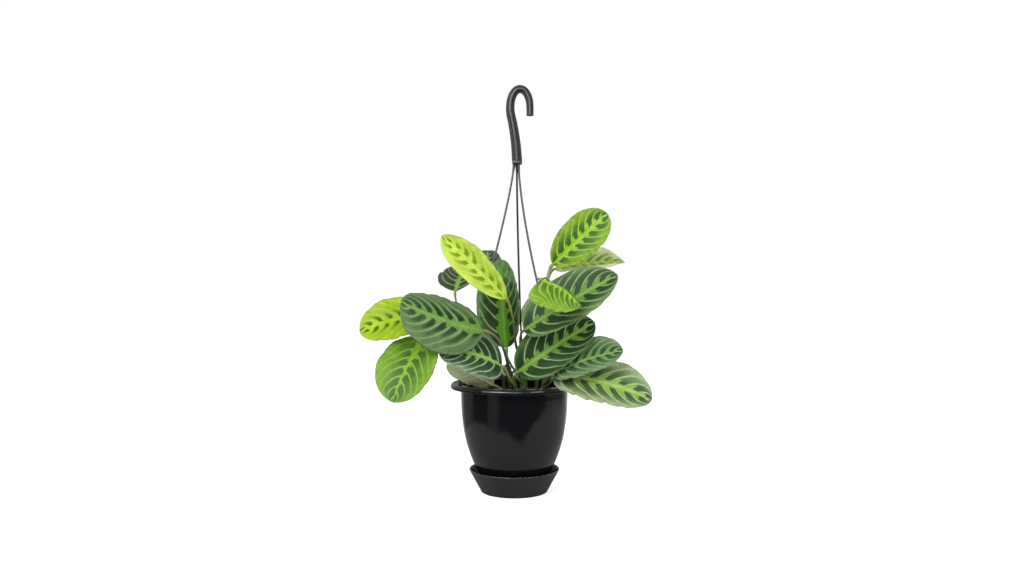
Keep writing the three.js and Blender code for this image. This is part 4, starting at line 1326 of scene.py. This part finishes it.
def blade_relief(blade, settings, draw, u, v):
    """How far a point stands out of the plain blade, by swells, ripples and the midrib's groove."""
    reach = abs(v)
    body = math.sqrt(max(0, math.sin(math.pi * u)))
    near = lateral_nearness(LOOKS[blade["look"]], u, v)
    swell = settings.quilting * (near ** SWELL_POWER - 0.5) * (1 - reach ** SWELL_MARGIN_POWER)
    from_midrib = v * blade["width"] / 2 / MIDRIB_GROOVE_WIDTH
    groove = -MIDRIB_GROOVE * MM * math.exp(-(from_midrib ** 2)) * (1 - MIDRIB_GROOVE_TAPER * u)
    stagger = RIPPLE_STAGGER if v > 0 else 0
    slow = math.sin(math.tau * (RIPPLE_COUNTS[0] * u + draw[0] + stagger)) * RIPPLE_SHARES[0]
    quick = math.sin(math.tau * (RIPPLE_COUNTS[1] * u + draw[1])) * RIPPLE_SHARES[1]
    ripple = blade.get("ripple", BLADE_RIPPLE) * MM * reach ** RIPPLE_POWER * (slow + quick)
    along = u * WANDER_COUNTS[0] + draw[2] * WANDER_SPREAD
    uneven = noise.noise(Vector((along, v * WANDER_COUNTS[1], draw[0] * WANDER_SPREAD)))
    return (swell + groove + ripple + uneven * BLADE_WANDER * MM) * body


def make_blade_mesh(name, blade, settings):
    """A blade from a flat grid, with its map, the weight of its midrib and its relief."""
    numbers = random.Random(name)
    draw = [numbers.random() for _ in range(3)]
    bm = bmesh.new()
    uv = bm.loops.layers.uv.new("blade")
    ribs = bm.verts.layers.deform.verify()
    place = bm.verts.layers.float_vector.new("place")
    bmesh.ops.create_grid(bm, x_segments=BLADE_ROWS, y_segments=BLADE_COLUMNS, size=1)
    for vert in bm.verts:
        u = (1 - math.cos(math.pi * (vert.co.x + 1) / 2)) / 2
        v = math.copysign(abs(vert.co.y) ** MIDRIB_BUNCHING, vert.co.y)
        for loop in vert.link_loops:
            loop[uv].uv = (u, (v + 1) / 2)
        vert[place] = (u, v, 0)
        from_midrib = v * blade["width"] / 2 / MIDRIB_RIB_WIDTH
        vert[ribs][0] = math.exp(-(from_midrib ** 2)) * (1 - MIDRIB_RIB_TAPER * u)
        vert.co = blade_point(blade, u, v) * MM
    bmesh.ops.remove_doubles(bm, verts=bm.verts, dist=BLADE_WELD * MM)
    bmesh.ops.reverse_faces(bm, faces=bm.faces)
    bm.normal_update()
    normals = [vert.normal.copy() for vert in bm.verts]
    for vert, normal in zip(bm.verts, normals):
        vert.co += normal * blade_relief(blade, settings, draw, *vert[place][:2])
    bm.verts.layers.float_vector.remove(place)
    return bm


def thicken_blade(piece, settings):
    """Gives the blade its thickness, more along the midrib, with the second material on its lower face."""
    piece.vertex_groups.new(name="rib")
    shell = piece.modifiers.new("thickness", "SOLIDIFY")
    shell.thickness = settings.rib
    shell.offset = -1
    shell.vertex_group = "rib"
    shell.thickness_vertex_group = settings.thickness / settings.rib
    shell.material_offset = 1
    shell.material_offset_rim = 1


def stalk_girths(line, thick, thin):
    """Girths in metres from the foot at the stem to the swollen joint, closing just under the blade."""
    length = sum((b - a).length for a, b in zip(line, line[1:])) / MM
    girths = []
    for i in range(len(line)):
        share = i / (len(line) - 1)
        left = (1 - share) * length
        girth = lerp(thick, thin, min(1, share * STALK_TAPER[0]) ** STALK_TAPER[1])
        joint = JOINT_SWELL * math.exp(-(((left - JOINT_LENGTH / 2) / (JOINT_LENGTH / 2)) ** 4))
        close = min(1, 1 - STALK_CLOSE + STALK_CLOSE * left / STALK_CLOSE_LENGTH)
        girth = (girth + joint) * close * MM
        girths.append((girth, girth))
    return girths


def stem_girths(shoot):
    """Girths in metres from the soil to the stem's rounded top, with the swelling of a node below it."""
    girths = []
    for i in range(STEM_STEPS + 1):
        share = i / STEM_STEPS
        node = STEM_NODE * math.exp(-(((share - STEM_NODE_PLACE) / STEM_NODE_LENGTH) ** 2))
        round_top = min(1, STEM_TOP_ROUND[0] + (1 - share) * STEM_TOP_ROUND[1])
        girth = (lerp(*shoot["girth"], share) + node) * round_top * MM
        girths.append((girth, girth))
    return girths


def stem_line(shoot, foot_height):
    """The line that a stem climbs along, from a height in millimetres under its first point."""
    foot, *points = [Vector(point) * MM for point in shoot["points"]]
    foot.z = foot_height * MM
    return smooth_line([foot, *points], STEM_STEPS)


def stalk_line(blade, climb):
    """A stalk's line, inside the stem first, then through its own points and straight into the midrib."""
    leave = blade.get("leave", STALK_LEAVE)
    in_stem = [climb[round(max(0, share) * STEM_STEPS)] for share in (leave - STALK_RUN_IN, leave)]
    base = Vector(blade["base"])
    into = (base - blade_point(blade, BASE_START, 0)).normalized()
    ends = [(base + into * STALK_STRAIGHT) * MM, (base - into * STALK_RUN_OUT) * MM]
    return smooth_line([*in_stem, *[Vector(point) * MM for point in blade["stalk"]], *ends], STALK_STEPS)


def make_shoot_mesh(name, shoot):
    bm = bmesh.new()
    stem = stem_line(shoot, SOIL_TOP - STEM_ROOT)
    climb = stem_line(shoot, SOIL_TOP + SOIL_CROWN)
    skin = SKINS[SKIN_OF.get(name, "stem")]
    sweep(bm, frames_along(stem, stem_girths(shoot)), sides=STEM_SIDES, skin=skin)
    for leaf_name, blade in LEAVES.items():
        if blade["shoot"] == name:
            line = stalk_line(blade, climb)
            thick = min(STALK_FOOT, shoot["girth"][1])
            girths = stalk_girths(line, thick, blade.get("girth", STALK_GIRTH))
            skin = SKINS[SKIN_OF.get(leaf_name, "stalk")]
            sweep(bm, frames_along(line, girths), sides=STALK_SIDES, skin=skin)
    bmesh.ops.recalc_face_normals(bm, faces=bm.faces)
    return bm


# Operators


class PLANT_OT_pot(bpy.types.Operator):
    """Make the glossy pot, with its rolled lip, lip slots and drain holes"""

    bl_idname = "plant.make_pot"
    bl_label = "Pot"

    def execute(self, context):
        settings = context.scene.plant_pot
        gloss = make_plastic(
            "gloss_black_plastic", settings.colour, dust_colour=(150, 148, 144), dust_and_highlight=0.03,
            dullness=settings.dullness, grain=0.15, bump=0.00002, specular=0.5,
        )
        pot = make_piece("pot_body", make_pot_mesh(settings), [gloss], ["pot"])
        cut_pot(pot)
        return {"FINISHED"}


class PLANT_OT_saucer(bpy.types.Operator):
    """Make the matt saucer, with its foot and the ribs inside"""

    bl_idname = "plant.make_saucer"
    bl_label = "Saucer"

    def execute(self, context):
        settings = context.scene.plant_pot
        # The saucer's heavy dust also lightens the rim's top into a line: partly dust, partly a painted
        # highlight.
        matt = make_plastic(
            "matt_black_plastic", settings.saucer_colour, dust_colour=(156, 154, 150), dust_and_highlight=0.6,
            dullness=0.36, grain=0.6, bump=0.00004, specular=0.45,
        )
        make_piece("saucer_dish", make_saucer_mesh(), [matt], ["saucer"])
        return {"FINISHED"}


class PLANT_OT_soil(bpy.types.Operator):
    """Make the potting mix and its loose crumbs"""

    bl_idname = "plant.make_soil"
    bl_label = "Soil"

    def execute(self, context):
        settings = context.scene.plant_soil
        group = shared_group("potting_mix", soil_group)
        mix = make_material(
            "damp_potting_mix", group, {"Soil": tuple(settings.colour), "Fibre": tone(112, 88, 60)},
            bump=0.0008, specular=0.3,
        )
        make_piece("potting_mix", make_soil_mesh(settings), [mix], ["soil"])
        return {"FINISHED"}


class PLANT_OT_hanger(bpy.types.Operator):
    """Make the hook and the three rods that clip into the pot's lip"""

    bl_idname = "plant.make_hanger"
    bl_label = "Hanger"

    def execute(self, context):
        settings = context.scene.plant_hanger
        satin = make_plastic(
            "satin_grey_plastic", settings.colour, dust_colour=(160, 158, 154), dust_and_highlight=0.02,
            dullness=0.3, grain=0.05, bump=0.00003, specular=0.5,
        )
        make_piece("hanger_hook", make_hook_mesh(), [satin], ["hook"])
        for number in range(1, len(ROD_AZIMUTHS) + 1):
            bm = make_rod_mesh(number, settings)
            make_piece(f"hanger_rod_{number}", bm, [satin], [f"rod_{number}"])
        return {"FINISHED"}


class PLANT_OT_shoots(bpy.types.Operator):
    """Make the seven shoots with the stalks of their leaves"""

    bl_idname = "plant.make_shoots"
    bl_label = "Stems and stalks"

    def execute(self, context):
        settings = context.scene.plant_stalks
        group = shared_group("stalk_skin", stalk_group)
        skin = make_material("stalk_skin", group, {"Tint": tuple(settings.tint)}, bump=0.0002, specular=0.4)
        for name, shoot in SHOOTS.items():
            make_piece(f"{name}_stalks", make_shoot_mesh(name, shoot), [skin], [name])
        return {"FINISHED"}


class PLANT_OT_leaves(bpy.types.Operator):
    """Make every leaf blade with its pattern, relief and underside"""

    bl_idname = "plant.make_leaves"
    bl_label = "Leaves"

    def execute(self, context):
        settings = context.scene.plant_leaves
        upper_group = shared_group("leaf_upper_face", leaf_group)
        lower_group = shared_group("leaf_lower_face", underside_group)
        for number, (name, blade) in enumerate(LEAVES.items(), 1):
            values = LOOKS[blade["look"]] | {"Seed": number * LEAF_SEED_STEP}
            upper = make_material(f"{name}_upper_face", upper_group, values, bump=0.00018, specular=0.13)
            pairs = zip(settings.underside, values["Field"])
            under = tuple(lerp(pale, field, UNDERSIDE_TINT) for pale, field in pairs)
            lower = make_material(
                f"{name}_lower_face", lower_group,
                {"Under": under, "Rib": tone(222, 230, 184), "Edge": values["Edge"],
                 "Laterals": values["Laterals"], "Rise": values["Rise"]},
                bump=0.0003, specular=0.3,
            )
            slot = "young_leaf" if blade["look"] in YOUNG_LOOKS else "mature_leaf"
            bm = make_blade_mesh(name, blade, settings)
            piece = make_piece(f"{name}_blade", bm, [upper, lower], [name], smooth_angle=80)
            thicken_blade(piece, settings)
        return {"FINISHED"}


class PLANT_OT_stage(bpy.types.Operator):
    """Make the plain floor, the soft lights and the camera"""

    bl_idname = "plant.make_stage"
    bl_label = "Stage"

    def execute(self, context):
        settings = context.scene.plant_stage
        make_floor(settings)
        make_lights(settings)
        make_camera(context.scene)
        return {"FINISHED"}


# Stage


def make_floor(settings):
    bm = bmesh.new()
    bmesh.ops.create_circle(bm, cap_ends=True, radius=FLOOR_RADIUS, segments=96)
    floor = mesh_object("floor", bm)
    floor.data.materials.append(make_floor_material(settings))


def make_floor_material(settings):
    """A pale sheet that lights itself a little. Gloss sees it bright near the pot, and dimmer beyond."""
    material = bpy.data.materials.new("pale_floor")
    material.use_nodes = True
    graph = Graph(material.node_tree)
    place = graph.place()
    distance = graph.wire("ShaderNodeVectorMath", {0: place}, "Value", operation="LENGTH")
    azimuth = graph.math("ARCTAN2", graph.part(place, "X"), graph.part(place, "Y") * -1.0)
    far = graph.noise(place, 9.0) * DIM_WANDER + distance
    for start, end, shift_from, shift_to in DIM_EDGE:
        far = far + azimuth.ramp(start, end, shift_from, shift_to)
    dim = far.step(*DIM_ZONE, *DIM_SHARES)
    for angle, half_width, strength in STRIPS:
        strip = abs(azimuth - angle).step(half_width * STRIP_CORE, half_width, strength, 0.0)
        dim = graph.math("MAXIMUM", dim, strip)
    for start, end, strength in SIDE_GLOW:
        dim = graph.math("MAXIMUM", dim, azimuth.ramp(start, end, 0.0, strength))
    shade = (dim - 1.0) * graph.ray("Glossy") + 1.0
    shader = material.node_tree.nodes["Principled BSDF"]
    graph.feed(shader.inputs["Base Color"], graph.shaded(tuple(settings.floor), shade))
    graph.feed(shader.inputs["Emission Strength"], graph.ray("Camera") * settings.glow)
    graph.feed(shader.inputs["Emission Color"], (1, 1, 1, 1))
    graph.feed(shader.inputs["Roughness"], 0.8)
    graph.feed(shader.inputs["Specular IOR Level"], 0.0)
    return material


def add_light(name, power, gloss_only=False):
    data = bpy.data.lights.new(f"{name}_light", "AREA")
    data.shape = "RECTANGLE"
    data.size, data.size_y = LIGHTS[name]["size"]
    data.energy = power
    light = add_object(data.name, data)
    light.location = LIGHTS[name]["place"]
    light.rotation_euler = (Vector(LIGHT_AIM) - light.location).to_track_quat("-Z", "Y").to_euler()
    light.visible_camera = False
    light.visible_diffuse = not gloss_only


def make_lights(settings):
    """Even white light all round, seen at full strength by the camera, and three large soft lights."""
    world = bpy.data.worlds.new("studio")
    bpy.context.scene.world = world
    world.use_nodes = True
    graph = Graph(world.node_tree)
    unseen = graph.ray("Glossy") * (settings.gloss_room - settings.room) + settings.room
    background = world.node_tree.nodes["Background"]
    graph.feed(background.inputs["Strength"], graph.math("MAXIMUM", unseen, graph.ray("Camera")))
    graph.feed(background.inputs["Color"], (1, 1, 1, 1))
    add_light("key", settings.key)
    add_light("fill", settings.fill)
    add_light("gloss", settings.gloss, gloss_only=True)
    bpy.context.scene.view_settings.view_transform = "Standard"


def make_camera(scene):
    """The camera at the photo's viewing angle, from its focal length and horizon in pixels."""
    data = bpy.data.cameras.new("camera")
    data.sensor_width = SENSOR_WIDTH
    data.lens = CAMERA_FOCAL / PHOTO_SIZE[0] * data.sensor_width
    camera = add_object("camera", data)
    pitch = math.atan((PHOTO_SIZE[1] / 2 - HORIZON_ROW) / CAMERA_FOCAL)
    camera.location = CAMERA_PLACE
    camera.rotation_euler = (math.pi / 2 - pitch, 0, 0)
    scene.camera = camera


class PLANT_PT_panel(bpy.types.Panel):
    """Lists the pieces in the order they are made"""

    bl_label = "Potted prayer plant"
    bl_idname = "PLANT_PT_panel"
    bl_space_type = "VIEW_3D"
    bl_region_type = "UI"
    bl_category = "Plant"

    def draw(self, context):
        for group, settings in SETTINGS.items():
            box = self.layout.box()
            for key in settings.__annotations__:
                box.prop(getattr(context.scene, group), key)
        for operator in OPERATORS:
            self.layout.operator(operator.bl_idname)


OPERATORS = [
    PLANT_OT_saucer, PLANT_OT_pot, PLANT_OT_soil, PLANT_OT_hanger, PLANT_OT_shoots, PLANT_OT_leaves,
    PLANT_OT_stage,
]


def register():
    for kind in [*SETTINGS.values(), *OPERATORS, PLANT_PT_panel]:
        bpy.utils.register_class(kind)
    for name, kind in SETTINGS.items():
        setattr(bpy.types.Scene, name, PointerProperty(type=kind))


def unregister():
    for name in SETTINGS:
        delattr(bpy.types.Scene, name)
    for kind in reversed([*SETTINGS.values(), *OPERATORS, PLANT_PT_panel]):
        bpy.utils.unregister_class(kind)


def main():
    register()
    bpy.ops.plant.make_saucer()
    bpy.ops.plant.make_pot()
    bpy.ops.plant.make_soil()
    bpy.ops.plant.make_hanger()
    bpy.ops.plant.make_shoots()
    bpy.ops.plant.make_leaves()
    bpy.ops.plant.make_stage()


if __name__ == "__main__":
    main()
